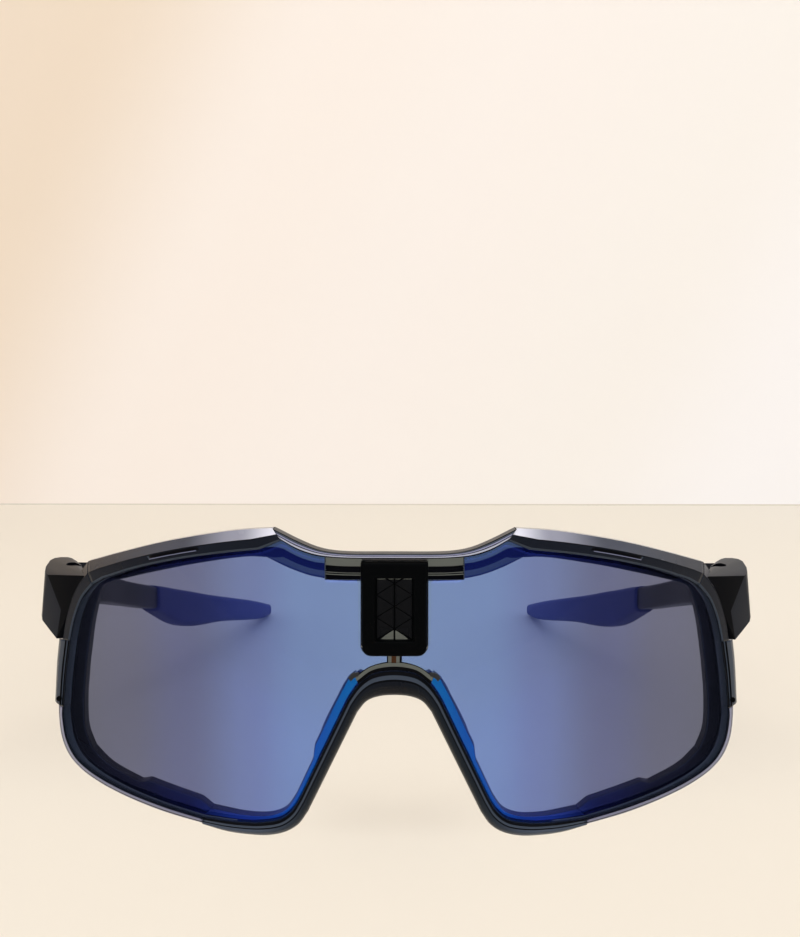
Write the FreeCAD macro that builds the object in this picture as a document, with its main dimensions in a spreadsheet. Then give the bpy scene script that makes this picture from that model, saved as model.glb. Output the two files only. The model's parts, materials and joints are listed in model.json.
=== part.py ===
import FreeCAD, Part
import math
import os

import Sketcher

# Wraparound sport sunglasses, in millimetres.
#
# Every piece is drawn in the front's own frame: +X to the right, +Y from the lens towards the ears, +Z up, with
# the middle of the shield lens's outer face at y = 0.  The whole set is then tipped back until the two lower
# lobes of the front and the two temple tips stand on one plane, and moved so that the origin is the middle of
# the bottom of its box.

Vector = FreeCAD.Vector

doc = FreeCAD.newDocument("sunglasses")

# --- driving dimensions ---------------------------------------------------------------------------------

SHEET_ROWS = [
    ("lens_radius", 97.5),
    ("lens_back_radius", 96.0),
    ("rim_front_radius", 98.6),
    ("rim_back_radius", 93.4),
    ("flange_front_radius", 95.9),
    ("flange_back_radius", 92.4),
    ("brow_back_radius", 92.2),
    ("block_front_radius", 99.3),
    ("insert_front_radius", 98.3),
    ("insert_back_radius", 96.6),
    ("pad_back_radius", 86.4),
    ("front_height", 90.0),
    ("hinge_x", 66.5),
    ("hinge_y", 32.0),
    ("knuckle_low", 9.6),
    ("knuckle_high", 16.2),
    ("knuckle_radius", 3.3),
    ("slot_clearance", 0.1),
    ("slot_front_y", 28.3),
    ("slot_wall_x", 70.0),
    ("pin_radius", 1.0),
    ("pin_clearance", 0.05),
    ("pin_low", 6.6),
    ("head_seat", 17.4),
    ("head_radius", 1.5),
    ("head_height", 1.2),
    ("head_clearance", 0.1),
    ("drive_slot_width", 0.5),
    ("drive_slot_depth", 0.6),
    ("peg_radius", 0.55),
    ("peg_length", 4.0),
    ("tongue_thickness", 1.6),
    ("rib_width", 0.45),
]

sheet = doc.addObject("Spreadsheet::Sheet", "Dimensions")
for row, (alias, value) in enumerate(SHEET_ROWS, start=1):
    sheet.set(f"A{row}", alias)
    sheet.set(f"B{row}", str(value))
    sheet.setAlias(f"B{row}", alias)
doc.recompute()


def dim(alias):
    """The value of one driving dimension."""
    return float(getattr(sheet, alias))


def cell(alias):
    """The expression that reads one driving dimension."""
    return f"Dimensions.{alias}"


# --- outlines seen from the front, as (x, z) points of the right half ------------------------------------

FAR = 220.0           # half the square that a keeping cut clears
BEYOND_X = 80.0       # beyond every side of the front
BEYOND_Z = 40.0       # above and below every part of the front
PLATE_HALF_ANGLE = 50.0


def both_sides(points):
    """A curve that crosses the middle, from its right half, which starts at x = 0."""
    return [(-x, z) for x, z in reversed(points[1:])] + points


def mirrored(points):
    return [(-x, z) for x, z in points]


def closed_both_sides(crossing_low, right_half, crossing_high):
    """A closed outline: a low curve over the middle, the right half upwards, a high curve, the left half."""
    left_half = [mirrored(reversed(piece)) for piece in reversed(right_half)]
    return [both_sides(crossing_low)] + right_half + [list(reversed(both_sides(crossing_high)))] + left_half


# The outer silhouette of the front: nose arch, leg, lobe, lower rim, strut, lug corner, brow wing, peak.
SILHOUETTE = closed_both_sides(
    [(0.0, -2.1), (3.1, -2.4), (5.2, -3.3), (6.9, -5.3)],
    [
        [(6.9, -5.3), (16.2, -24.3)],
        [
            (16.2, -24.3), (18.0, -26.8), (20.3, -28.3), (23.7, -29.2), (27.6, -29.4), (32.0, -29.1),
            (36.6, -28.3),
        ],
        [(36.6, -28.3), (36.6, -28.0)],
        [
            (36.6, -28.0), (45.6, -26.6), (54.1, -24.7), (59.5, -23.1), (63.8, -21.2), (66.8, -18.8),
            (68.5, -15.6), (69.1, -12.0), (69.2, -9.2),
        ],
        [(69.2, -9.2), (69.9, -8.6)],
        [(69.9, -8.6), (69.3, 0.0), (68.7, 4.6)],
        [(68.7, 4.6), (66.5, 15.0)],
        [(66.5, 15.0), (62.0, 20.6)],
        [(62.0, 20.6), (53.8, 23.1), (45.3, 25.4), (37.1, 27.1), (29.3, 28.3), (22.8, 28.8)],
        [(22.8, 28.8), (21.7, 28.3), (17.9, 26.5), (14.2, 25.1), (10.5, 24.5)],
    ],
    [(0.0, 24.4), (10.5, 24.5)],
)

# The edge of the shield lens, where the rims meet it.
LENS_EDGE = closed_both_sides(
    [(0.0, 2.8), (4.1, 2.1), (6.0, 0.8), (7.4, -0.8), (8.7, -2.8)],
    [
        [(8.7, -2.8), (17.5, -21.2)],
        [(17.5, -21.2), (19.0, -23.8), (21.2, -25.7), (25.4, -26.7), (30.0, -26.9), (37.5, -26.6)],
        [
            (37.5, -26.6), (45.7, -25.1), (54.4, -23.1), (61.3, -20.7), (64.6, -18.6), (66.7, -15.4),
            (67.6, -11.0),
        ],
        [(67.6, -11.0), (67.1, -4.5), (65.7, 4.8)],
        [(65.7, 4.8), (64.4, 9.5), (62.5, 13.6), (60.0, 16.4), (56.3, 18.3)],
        [(56.3, 18.3), (49.7, 20.5), (41.3, 22.5), (33.3, 23.9), (25.2, 24.9)],
        [(25.2, 24.9), (21.1, 26.7)],
        [(21.1, 26.7), (18.0, 25.0), (14.8, 24.0), (10.6, 23.6)],
    ],
    [(0.0, 23.5), (10.6, 23.6)],
)

# The clear window inside the rear flange, on the right: down the block, round the neck, along the nose, out
# along the bottom with its raised tab, up the side and back along the brow.
WINDOW = [
    [(6.3, 18.4), (6.3, 7.4)],
    [(6.3, 7.4), (5.75, 6.05), (4.4, 5.5)],
    [(4.4, 5.5), (1.4, 5.5)],
    [(1.4, 5.5), (1.4, 4.3)],
    [(1.4, 4.3), (4.6, 3.4), (6.9, 2.2)],
    [(6.9, 2.2), (8.8, 0.7), (11.0, -3.6), (15.0, -11.9)],
    [(15.0, -11.9), (15.3, -14.6)],
    [(15.3, -14.6), (18.6, -21.7)],
    [(18.6, -21.7), (20.4, -24.3), (23.0, -25.6), (27.5, -26.0), (35.0, -25.3)],
    [(35.0, -25.3), (37.2, -23.8)],
    [(37.2, -23.8), (48.2, -21.5)],
    [(48.2, -21.5), (50.0, -22.1)],
    [(50.0, -22.1), (57.2, -19.7), (61.0, -17.2), (62.7, -13.8), (63.1, -8.0)],
    [(63.1, -8.0), (62.4, 0.0), (60.9, 9.1), (59.6, 13.4)],
    [(59.6, 13.4), (58.3, 16.0), (55.0, 17.4)],
    [(55.0, 17.4), (48.0, 19.3), (37.6, 21.7), (27.7, 23.3), (24.2, 23.3)],
    [(24.2, 23.3), (20.0, 21.4), (16.2, 20.1), (12.5, 19.45)],
    [(12.5, 19.45), (7.3, 19.4)],
    [(7.3, 19.4), (6.6, 19.1), (6.3, 18.4)],
]

# The bridge block, seen from the front.
BLOCK_HALF_WIDTH = 6.25
LENS_NOTCH_GAP = 0.05

# The lens stops short beside the block's head, where the brow's flange shows in front.
BROW_NOTCH_HALF_WIDTH = 13.0
BROW_NOTCH_LOW = 19.45
BLOCK_LOW = 5.5
BLOCK_HIGH = 23.0
BLOCK_CORNER = 1.9

# The places where the rims and the flange are divided.
BROW_END_X = 62.0
FLANGE_BROW_X = 56.0
FLANGE_LOW_Z = -16.0
FLANGE_BEND_Z = -8.0
FLANGE_BROW_LOW_Z = 17.2
BROW_LOW_Z = 12.0
STRUT_INNER_X = 50.0
NOSE_RIM_HIGH_Z = 5.0
FLANGE_LOW_X = 60.0
NOSE_END_X = 36.6
STRUT_LOW_Z = -9.0
STRUT_HIGH_Z = 4.6
LUG_FLANGE_X = 62.5
NOSE_FLANGE_HIGH_Z = 4.9


def box_outline(x_low, z_low, x_high, z_high):
    corners = [(x_low, z_low), (x_high, z_low), (x_high, z_high), (x_low, z_high)]
    return polygon(corners)


def polygon(corners):
    """A closed outline of straight lines."""
    return [[start, end] for start, end in zip(corners, corners[1:] + corners[:1])]


def rounded_block(half_width, low, high, corner):
    """The block's outline: square at the top, rounded at its two lower corners, each an arc's three points."""
    slack = corner * (1.0 - math.sqrt(0.5))
    right_arc = [(half_width - corner, low), (half_width - slack, low + slack), (half_width, low + corner)]
    left_arc = [(-x, z) for x, z in reversed(right_arc)]
    return [
        right_arc,
        [(half_width, low + corner), (half_width, high)],
        [(half_width, high), (-half_width, high)],
        [(-half_width, high), (-half_width, low + corner)],
        left_arc,
        [(-half_width + corner, low), (half_width - corner, low)],
    ]


def on_side(outline, side):
    """An outline of the right side, or its mirror image."""
    if side > 0:
        return outline
    return [mirrored(piece) for piece in outline]


# --- sketches and features -------------------------------------------------------------------------------


def new_body(label):
    body = doc.addObject("PartDesign::Body", label)
    body.Label = label
    return body


def new_sketch(body, role, name):
    """A sketch on one of the body's own origin planes."""
    plane = [feature for feature in body.Origin.OriginFeatures if feature.Role == role][0]
    sketch = body.newObject("Sketcher::SketchObject", name)
    sketch.AttachmentSupport = (plane, [""])
    sketch.MapMode = "FlatFace"
    return sketch


def draw(sketch, outline):
    """Adds a closed outline: a line for each pair of points, an arc for three, a smooth curve for more."""
    for piece in outline:
        points = [Vector(u, v, 0.0) for u, v in piece]
        if len(points) == 2:
            sketch.addGeometry(Part.LineSegment(points[0], points[1]), False)
        elif len(points) == 3:
            sketch.addGeometry(Part.Arc(points[0], points[1], points[2]), False)
        else:
            curve = Part.BSplineCurve()
            curve.interpolate(points)
            sketch.addGeometry(curve, False)


def cut_through(body, role, name, outline, keep_inside):
    """Cuts an outline right through the body, or cuts away all that lies outside it."""
    sketch = new_sketch(body, role, name)
    if keep_inside:
        draw(sketch, box_outline(-FAR, -FAR, FAR, FAR))
    draw(sketch, outline)
    pocket = body.newObject("PartDesign::Pocket", name + "_cut")
    pocket.Profile = sketch
    pocket.Type = "ThroughAll"
    pocket.Midplane = True
    sketch.Visibility = False
    return pocket


def keep_outline(body, name, outline):
    return cut_through(body, "XZ_Plane", name, outline, True)


def cut_outline(body, name, outline):
    return cut_through(body, "XZ_Plane", name, outline, False)


def curved_plate(label, front_alias, back_alias):
    """A body that starts as a tall plate bent round the lens's vertical axis, between two radii."""
    body = new_body(label)
    sketch = new_sketch(body, "XY_Plane", "plate_section")
    centre = Vector(0.0, dim("lens_radius"), 0.0)
    up = Vector(0.0, 0.0, 1.0)
    first = math.radians(-90.0 - PLATE_HALF_ANGLE)
    last = math.radians(-90.0 + PLATE_HALF_ANGLE)
    front_circle = Part.Circle(centre, up, dim(front_alias))
    back_circle = Part.Circle(centre, up, dim(back_alias))
    front = sketch.addGeometry(Part.ArcOfCircle(front_circle, first, last), False)
    back = sketch.addGeometry(Part.ArcOfCircle(back_circle, first, last), False)
    for end, angle in ((1, first), (2, last)):
        radial = Vector(math.cos(angle), math.sin(angle), 0.0)
        outer = centre + radial * dim(front_alias)
        inner = centre + radial * dim(back_alias)
        line = sketch.addGeometry(Part.LineSegment(outer, inner), False)
        sketch.addConstraint(Sketcher.Constraint("Coincident", front, end, line, 1))
        sketch.addConstraint(Sketcher.Constraint("Coincident", back, end, line, 2))
    sketch.addConstraint(Sketcher.Constraint("Coincident", front, 3, back, 3))
    sketch.addConstraint(Sketcher.Constraint("PointOnObject", front, 3, -2))
    bound = [
        (Sketcher.Constraint("DistanceY", -1, 1, front, 3, dim("lens_radius")), "lens_radius"),
        (Sketcher.Constraint("Radius", front, dim(front_alias)), front_alias),
        (Sketcher.Constraint("Radius", back, dim(back_alias)), back_alias),
    ]
    for constraint, alias in bound:
        index = sketch.addConstraint(constraint)
        sketch.setExpression(f"Constraints[{index}]", cell(alias))
    pad = body.newObject("PartDesign::Pad", "plate")
    pad.Profile = sketch
    pad.Midplane = True
    pad.setExpression("Length", cell("front_height"))
    sketch.Visibility = False
    return body


def rim_piece(label, zone, back_alias="rim_back_radius"):
    """A stretch of the front rim: between the silhouette and the lens's edge, inside its own zone."""
    body = curved_plate(label, "rim_front_radius", back_alias)
    keep_outline(body, "silhouette", SILHOUETTE)
    cut_outline(body, "lens_edge", LENS_EDGE)
    keep_outline(body, "zone", zone)
    return body


def flange_piece(label, zone, window):
    """A stretch of the flange behind the lens: inside the lens's edge, outside its window, in its zone."""
    body = curved_plate(label, "flange_front_radius", "flange_back_radius")
    keep_outline(body, "lens_edge", LENS_EDGE)
    cut_outline(body, "window", window)
    keep_outline(body, "zone", zone)
    return body


pieces = []

# --- the front's rims -------------------------------------------------------------------------------------

brow_zone = box_outline(-BROW_END_X, BROW_LOW_Z, BROW_END_X, BEYOND_Z)
pieces.append(rim_piece("brow_bar", brow_zone, "brow_back_radius"))
nose_zone = box_outline(-NOSE_END_X, -BEYOND_Z, NOSE_END_X, NOSE_RIM_HIGH_Z)
pieces.append(rim_piece("nose_rim", nose_zone))

for side, hand in ((-1, "left"), (1, "right")):
    strut_zone = on_side(box_outline(STRUT_INNER_X, STRUT_LOW_Z, BEYOND_X, STRUT_HIGH_Z), side)
    pieces.append(rim_piece(f"side_strut_{hand}", strut_zone))
    rim_zone = on_side(box_outline(NOSE_END_X, -BEYOND_Z, BEYOND_X, STRUT_LOW_Z), side)
    pieces.append(rim_piece(f"lower_rim_{hand}", rim_zone))

# --- the flange behind the lens ---------------------------------------------------------------------------


for side, hand in ((-1, "left"), (1, "right")):
    window = on_side(WINDOW, side)
    brow_zone = box_outline(BLOCK_HALF_WIDTH, FLANGE_BROW_LOW_Z, FLANGE_BROW_X, BEYOND_Z)
    pieces.append(flange_piece(f"brow_flange_{hand}", on_side(brow_zone, side), window))
    side_zone = polygon(
        [
            (FLANGE_BROW_X, BEYOND_Z), (FLANGE_BROW_X, FLANGE_BEND_Z), (FLANGE_LOW_X, FLANGE_LOW_Z),
            (BEYOND_X, FLANGE_LOW_Z), (BEYOND_X, STRUT_HIGH_Z), (LUG_FLANGE_X, STRUT_HIGH_Z),
            (LUG_FLANGE_X, BEYOND_Z),
        ]
    )
    pieces.append(flange_piece(f"side_flange_{hand}", on_side(side_zone, side), window))
    low_zone = polygon(
        [
            (NOSE_END_X, -BEYOND_Z), (BEYOND_X, -BEYOND_Z), (BEYOND_X, FLANGE_LOW_Z),
            (FLANGE_LOW_X, FLANGE_LOW_Z), (FLANGE_BROW_X, FLANGE_BEND_Z), (NOSE_END_X, FLANGE_BEND_Z),
        ]
    )
    pieces.append(flange_piece(f"lower_flange_{hand}", on_side(low_zone, side), window))
    nose_zone = box_outline(0.0, -BEYOND_Z, NOSE_END_X, NOSE_FLANGE_HIGH_Z)
    pieces.append(flange_piece(f"nose_flange_{hand}", on_side(nose_zone, side), window))

# --- lens, bridge block and vent ---------------------------------------------------------------------------

lens = curved_plate("lens", "lens_radius", "lens_back_radius")
keep_outline(lens, "lens_edge", LENS_EDGE)
notch = rounded_block(BLOCK_HALF_WIDTH + LENS_NOTCH_GAP, BLOCK_LOW - LENS_NOTCH_GAP, BEYOND_Z, BLOCK_CORNER)
cut_outline(lens, "block_notch", notch)
brow_notch = box_outline(-BROW_NOTCH_HALF_WIDTH, BROW_NOTCH_LOW, BROW_NOTCH_HALF_WIDTH, BEYOND_Z)
cut_outline(lens, "brow_notch", brow_notch)
pieces.append(lens)

VENT_HALF_WIDTH = 3.5
VENT_LOW = 8.3
VENT_HIGH = 19.9
LOW_OUTLET_HALF_WIDTH = 2.6
LOW_OUTLET_HIGH = 10.2
HIGH_OUTLET_HALF_WIDTH = 3.2
HIGH_OUTLET_LOW = 19.3
NECK_HALF_WIDTH = 1.4
vent_window = box_outline(-VENT_HALF_WIDTH, VENT_LOW, VENT_HALF_WIDTH, VENT_HIGH)

block = curved_plate("bridge_block", "block_front_radius", "flange_front_radius")
keep_outline(block, "block_outline", rounded_block(BLOCK_HALF_WIDTH, BLOCK_LOW, BLOCK_HIGH, BLOCK_CORNER))
cut_outline(block, "vent_window", vent_window)
pieces.append(block)

post = curved_plate("bridge_post", "flange_front_radius", "flange_back_radius")
keep_outline(post, "post_outline", rounded_block(BLOCK_HALF_WIDTH, BLOCK_LOW, BLOCK_HIGH, BLOCK_CORNER))
low_left, low_right = (-LOW_OUTLET_HALF_WIDTH, VENT_LOW), (LOW_OUTLET_HALF_WIDTH, VENT_LOW)
cut_outline(post, "low_outlet", [[low_left, low_right], [low_right, (0.0, LOW_OUTLET_HIGH), low_left]])
high_outlet = box_outline(-HIGH_OUTLET_HALF_WIDTH, HIGH_OUTLET_LOW, HIGH_OUTLET_HALF_WIDTH, VENT_HIGH)
cut_outline(post, "high_outlet", high_outlet)
pieces.append(post)

neck = curved_plate("bridge_neck", "flange_front_radius", "flange_back_radius")
neck_outline = box_outline(-NECK_HALF_WIDTH, NOSE_FLANGE_HIGH_Z, NECK_HALF_WIDTH, BLOCK_LOW)
keep_outline(neck, "neck_outline", neck_outline)
pieces.append(neck)

# The truss: a border, a middle rib, bays with one slanted rib on each side, left as lands between triangular
# holes, and a slit along the top.
BAYS = 5
BAY_HEIGHT = 2.1
BORDER = 0.4
SLIT_LOW = 19.4
SLIT_HIGH = 19.7
half_rib = dim("rib_width") / 2.0
hole_far_x = VENT_HALF_WIDTH - BORDER
corner_gap = half_rib * 2.2

insert = curved_plate("vent_insert", "insert_front_radius", "insert_back_radius")
keep_outline(insert, "insert_outline", vent_window)
for side, hand in ((-1, "left"), (1, "right")):
    for number in range(BAYS):
        z_low = VENT_LOW + BORDER + number * BAY_HEIGHT
        z_high = z_low + BAY_HEIGHT
        # The slanted rib runs inwards and up in even bays, and inwards and down in odd ones.
        z_inner, z_outer, step = (z_high, z_low, -1.0) if number % 2 == 0 else (z_low, z_high, 1.0)
        near_hole = [
            (half_rib, z_inner + step * corner_gap),
            (hole_far_x - corner_gap, z_outer - step * half_rib),
            (half_rib, z_outer - step * half_rib),
        ]
        far_hole = [
            (half_rib + corner_gap, z_inner + step * half_rib),
            (hole_far_x, z_inner + step * half_rib),
            (hole_far_x, z_outer - step * corner_gap),
        ]
        cut_outline(insert, f"near_hole_{hand}_{number}", on_side(polygon(near_hole), side))
        cut_outline(insert, f"far_hole_{hand}_{number}", on_side(polygon(far_hole), side))
    slit = box_outline(half_rib, SLIT_LOW, hole_far_x, SLIT_HIGH)
    cut_outline(insert, f"slit_{hand}", on_side(slit, side))
pieces.append(insert)

# --- nose pads ----------------------------------------------------------------------------------------------

PAD = [
    [(6.4, 1.8), (8.6, 1.2), (10.9, -3.0), (14.7, -11.2)],
    [(14.7, -11.2), (15.0, -14.4), (12.9, -15.8)],
    [(12.9, -15.8), (9.6, -9.2), (6.4, -3.0), (4.9, 0.2)],
    [(4.9, 0.2), (5.3, 1.5), (6.4, 1.8)],
]
for side, hand in ((-1, "left"), (1, "right")):
    pad = curved_plate(f"nose_pad_{hand}", "flange_back_radius", "pad_back_radius")
    keep_outline(pad, "pad_outline", on_side(PAD, side))
    pieces.append(pad)

# --- lugs and hinge screws ----------------------------------------------------------------------------------


def upright_pad(body, name, outline):
    """Adds a tall prism over an outline seen from above."""
    sketch = new_sketch(body, "XY_Plane", name)
    draw(sketch, outline)
    pad = body.newObject("PartDesign::Pad", name + "_pad")
    pad.Profile = sketch
    pad.Midplane = True
    pad.setExpression("Length", cell("front_height"))
    sketch.Visibility = False


def keep_profile(body, name, outline):
    """Cuts away all that lies outside an outline seen from the side, as (y, z) points."""
    return cut_through(body, "YZ_Plane", name, outline, True)


def upright_cylinder(body, kind, name, radius, low, high, side):
    """Adds or cuts a cylinder on the hinge's axis; radius, low and high are expressions on the sheet."""
    cylinder = body.newObject(f"PartDesign::{kind}Cylinder", name)
    cylinder.setExpression("Radius", radius)
    cylinder.setExpression("Height", f"{high} - {low}")
    cylinder.setExpression("Placement.Base.x", f"{side} * {cell('hinge_x')}")
    cylinder.setExpression("Placement.Base.y", cell("hinge_y"))
    cylinder.setExpression("Placement.Base.z", low)
    return cylinder


LUG_WEB = polygon([(62.0, 20.6), (66.7, 24.2), (70.9, 27.2), (72.9, 29.4), (72.9, 31.0), (62.0, 31.0)])
HINGE_BLOCK = polygon(
    [(63.0, 28.0), (72.9, 28.0), (72.9, 35.5), (71.4, 38.5), (66.6, 38.5), (64.4, 35.0), (63.6, 31.0)]
)
LUG_FRONT = polygon(
    [
        (61.9, 4.6), (68.7, 4.6), (70.9, 6.2), (72.5, 7.8), (72.9, 9.0), (71.1, 17.4), (71.1, 21.0),
        (61.9, 21.0),
    ]
)
LUG_PROFILE = polygon(
    [(19.0, 4.6), (28.0, 4.6), (38.5, 8.2), (38.5, 20.2), (33.5, 20.3), (25.0, 17.6), (19.0, 18.4)]
)
OPEN_TOP = 30.0
SLOT_DEPTH = 20.0
DRIVE_SLOT_LENGTH = 10.0

for side, hand in ((-1, "left"), (1, "right")):
    lug = new_body(f"hinge_lug_{hand}")
    upright_pad(lug, "web", on_side(LUG_WEB, side))
    cut_outline(lug, "lens_edge", LENS_EDGE)
    upright_pad(lug, "hinge_block", on_side(HINGE_BLOCK, side))
    keep_outline(lug, "front_outline", on_side(LUG_FRONT, side))
    keep_profile(lug, "side_outline", LUG_PROFILE)
    slot = lug.newObject("PartDesign::SubtractiveBox", "knuckle_slot")
    slot.setExpression("Length", cell("slot_wall_x"))
    slot.Width = SLOT_DEPTH
    slot.setExpression(
        "Height", f"{cell('knuckle_high')} - {cell('knuckle_low')} + 2 * {cell('slot_clearance')}"
    )
    if side < 0:
        slot.setExpression("Placement.Base.x", f"-{cell('slot_wall_x')}")
    slot.setExpression("Placement.Base.y", cell("slot_front_y"))
    slot.setExpression("Placement.Base.z", f"{cell('knuckle_low')} - {cell('slot_clearance')}")
    pin_radius = cell("pin_radius")
    upright_cylinder(lug, "Subtractive", "pin_hole", pin_radius, cell("pin_low"), f"{OPEN_TOP}", side)
    seat_radius = f"{cell('head_radius')} + {cell('head_clearance')}"
    upright_cylinder(lug, "Subtractive", "head_recess", seat_radius, cell("head_seat"), f"{OPEN_TOP}", side)
    pieces.append(lug)

    screw = new_body(f"hinge_screw_{hand}")
    head_top = f"({cell('head_seat')} + {cell('head_height')})"
    upright_cylinder(screw, "Additive", "shank", pin_radius, cell("pin_low"), cell("head_seat"), side)
    upright_cylinder(screw, "Additive", "head", cell("head_radius"), cell("head_seat"), head_top, side)
    drive = screw.newObject("PartDesign::SubtractiveBox", "drive_slot")
    drive.Length = DRIVE_SLOT_LENGTH
    drive.setExpression("Width", cell("drive_slot_width"))
    drive.setExpression("Height", cell("head_height"))
    drive.setExpression("Placement.Base.x", f"{side} * {cell('hinge_x')} - {DRIVE_SLOT_LENGTH / 2.0}")
    drive.setExpression("Placement.Base.y", f"{cell('hinge_y')} - {cell('drive_slot_width')} / 2")
    drive.setExpression("Placement.Base.z", f"{head_top} - {cell('drive_slot_depth')}")
    pieces.append(screw)

# --- pegs at the foot of each strut -------------------------------------------------------------------------

PEG_X = 68.45
PEG_FRONT_Y = 26.3
PEG_Z = -7.6


def peg_cylinder(body, kind, name, side):
    """Adds or cuts a cylinder that points backwards, on the peg's axis."""
    cylinder = body.newObject(f"PartDesign::{kind}Cylinder", name)
    cylinder.setExpression("Radius", cell("peg_radius"))
    cylinder.setExpression("Height", cell("peg_length"))
    backwards = FreeCAD.Rotation(Vector(1.0, 0.0, 0.0), -90.0)
    cylinder.Placement = FreeCAD.Placement(Vector(side * PEG_X, PEG_FRONT_Y, PEG_Z), backwards)


named = {piece.Label: piece for piece in pieces}
for side, hand in ((-1, "left"), (1, "right")):
    peg_cylinder(named[f"side_strut_{hand}"], "Subtractive", "peg_hole", side)
    peg = new_body(f"rim_peg_{hand}")
    peg_cylinder(peg, "Additive", "peg", side)
    pieces.append(peg)

# --- temples and grips --------------------------------------------------------------------------------------

# The temple's middle line seen from above, hinge to tip, with half its thickness at each point.
MIDDLE = [
    (66.5, 32.0, 1.9), (65.5, 42.0, 1.9), (62.7, 54.0, 1.8), (57.6, 72.0, 1.8), (50.6, 94.0, 2.1),
    (44.3, 115.0, 2.0), (39.2, 138.0, 1.7), (37.6, 148.0, 1.5),
]
GRIP_START_Y = 72.0
ARM_BUTT_Y = 38.9
ARM_BUTT_X = 72.0
ARM_TAPER = [(71.3, 44.0), (67.9, 53.0), (63.7, 62.0)]
TONGUE_END = (47.4, 104.0)
TONGUE_OVERLAP = 0.8
GRIP_SWELL = 0.4


def beside(number, offset):
    """A point beside the middle line, square to it, on the outer side for a positive offset."""
    before = MIDDLE[max(number - 1, 0)]
    after = MIDDLE[min(number + 1, len(MIDDLE) - 1)]
    along = Vector(after[0] - before[0], after[1] - before[1], 0.0)
    along.normalize()
    x, y = MIDDLE[number][:2]
    return (x + along.y * offset, y - along.x * offset)


START = [point[1] for point in MIDDLE].index(GRIP_START_Y)
HALF = MIDDLE[START][2]
ARM_PLAN = [
    [(68.4, 32.0), (68.4, ARM_BUTT_Y)],
    [(68.4, ARM_BUTT_Y), (ARM_BUTT_X, ARM_BUTT_Y)],
    [(ARM_BUTT_X, ARM_BUTT_Y)] + ARM_TAPER + [beside(START, HALF)],
    [beside(START, HALF), beside(START, -HALF)],
    [beside(START, -HALF), beside(2, -1.9), beside(1, -1.9), (64.6, 32.0)],
    [(64.6, 32.0), (68.4, 32.0)],
]
ARM_PROFILE = [
    [(32.0, 9.6), (ARM_BUTT_Y, 9.6)],
    [(ARM_BUTT_Y, 9.6), (44.0, 9.9), (55.0, 8.1), (GRIP_START_Y, 5.0)],
    [(GRIP_START_Y, 5.0), (GRIP_START_Y, 10.2)],
    [(GRIP_START_Y, 10.2), (55.0, 13.7), (47.0, 16.0), (ARM_BUTT_Y, 19.0)],
    [(ARM_BUTT_Y, 19.0), (ARM_BUTT_Y, 16.2)],
    [(ARM_BUTT_Y, 16.2), (32.0, 16.2)],
    [(32.0, 16.2), (32.0, 9.6)],
]
TONGUE_PROFILE = polygon([(71.0, 6.2), (71.0, 9.4), (104.0, 2.4), (104.0, -0.6)])
GRIP_PROFILE = [
    [
        (GRIP_START_Y, 4.7), (75.0, 3.4), (83.0, 0.1), (94.0, -1.9), (104.0, -2.5), (115.0, -3.5),
        (138.0, -6.0),
    ],
    [(138.0, -6.0), (146.5, -6.35)],
    [(146.5, -6.35), (149.0, -4.6), (147.5, -3.1)],
    [(147.5, -3.1), (138.0, -1.4), (115.0, 2.6), (94.0, 6.3), (GRIP_START_Y, 10.5)],
    [(GRIP_START_Y, 10.5), (GRIP_START_Y, 4.7)],
]


def grip_plan():
    """The grip's outline from above: both sides of the middle line from the arm's end to the round tip."""
    last = len(MIDDLE) - 1
    outer = [beside(number, MIDDLE[number][2] + GRIP_SWELL) for number in range(START, last + 1)]
    inner = [beside(number, -MIDDLE[number][2] - GRIP_SWELL) for number in range(START, last + 1)]
    tip = (MIDDLE[last][0] - 0.3, MIDDLE[last][1] + 1.6)
    return [outer, [outer[-1], tip, inner[-1]], list(reversed(inner)), [inner[0], outer[0]]]


def tongue_plan():
    """A straight strip on the middle line, from just inside the arm to its end in the grip."""
    half = dim("tongue_thickness") / 2.0
    root = Vector(*MIDDLE[START][:2], 0.0)
    end = Vector(*TONGUE_END, 0.0)
    along = (end - root).normalize()
    square = Vector(along.y, -along.x, 0.0)
    root = root - along * TONGUE_OVERLAP
    corners = [root + square * half, end + square * half, end - square * half, root - square * half]
    return polygon([(corner.x, corner.y) for corner in corners])


def side_view_piece(label, plan, profile, side):
    body = new_body(label)
    upright_pad(body, "plan", on_side(plan, side))
    keep_profile(body, "profile", profile)
    return body


for side, hand in ((-1, "left"), (1, "right")):
    arm_blank = side_view_piece(f"arm_blank_{hand}", ARM_PLAN, ARM_PROFILE, side)
    knuckle = (cell("knuckle_radius"), cell("knuckle_low"), cell("knuckle_high"))
    upright_cylinder(arm_blank, "Additive", "knuckle", *knuckle, side)
    bore_radius = f"{cell('pin_radius')} + {cell('pin_clearance')}"
    upright_cylinder(arm_blank, "Subtractive", "pin_bore", bore_radius, "0", f"{OPEN_TOP}", side)
    tongue = side_view_piece(f"tongue_{hand}", tongue_plan(), TONGUE_PROFILE, side)
    grip_blank = side_view_piece(f"grip_blank_{hand}", grip_plan(), GRIP_PROFILE, side)
    arm = doc.addObject("Part::Fuse", f"temple_arm_{hand}")
    arm.Base = arm_blank
    arm.Tool = tongue
    arm.Label = f"temple_arm_{hand}"
    pieces.append(arm)
    grip = doc.addObject("Part::Cut", f"temple_grip_{hand}")
    grip.Base = grip_blank
    grip.Tool = tongue
    grip.Label = f"temple_grip_{hand}"
    pieces.append(grip)

doc.recompute()

# --- standing the glasses on their lobes and tips ------------------------------------------------------------


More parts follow.
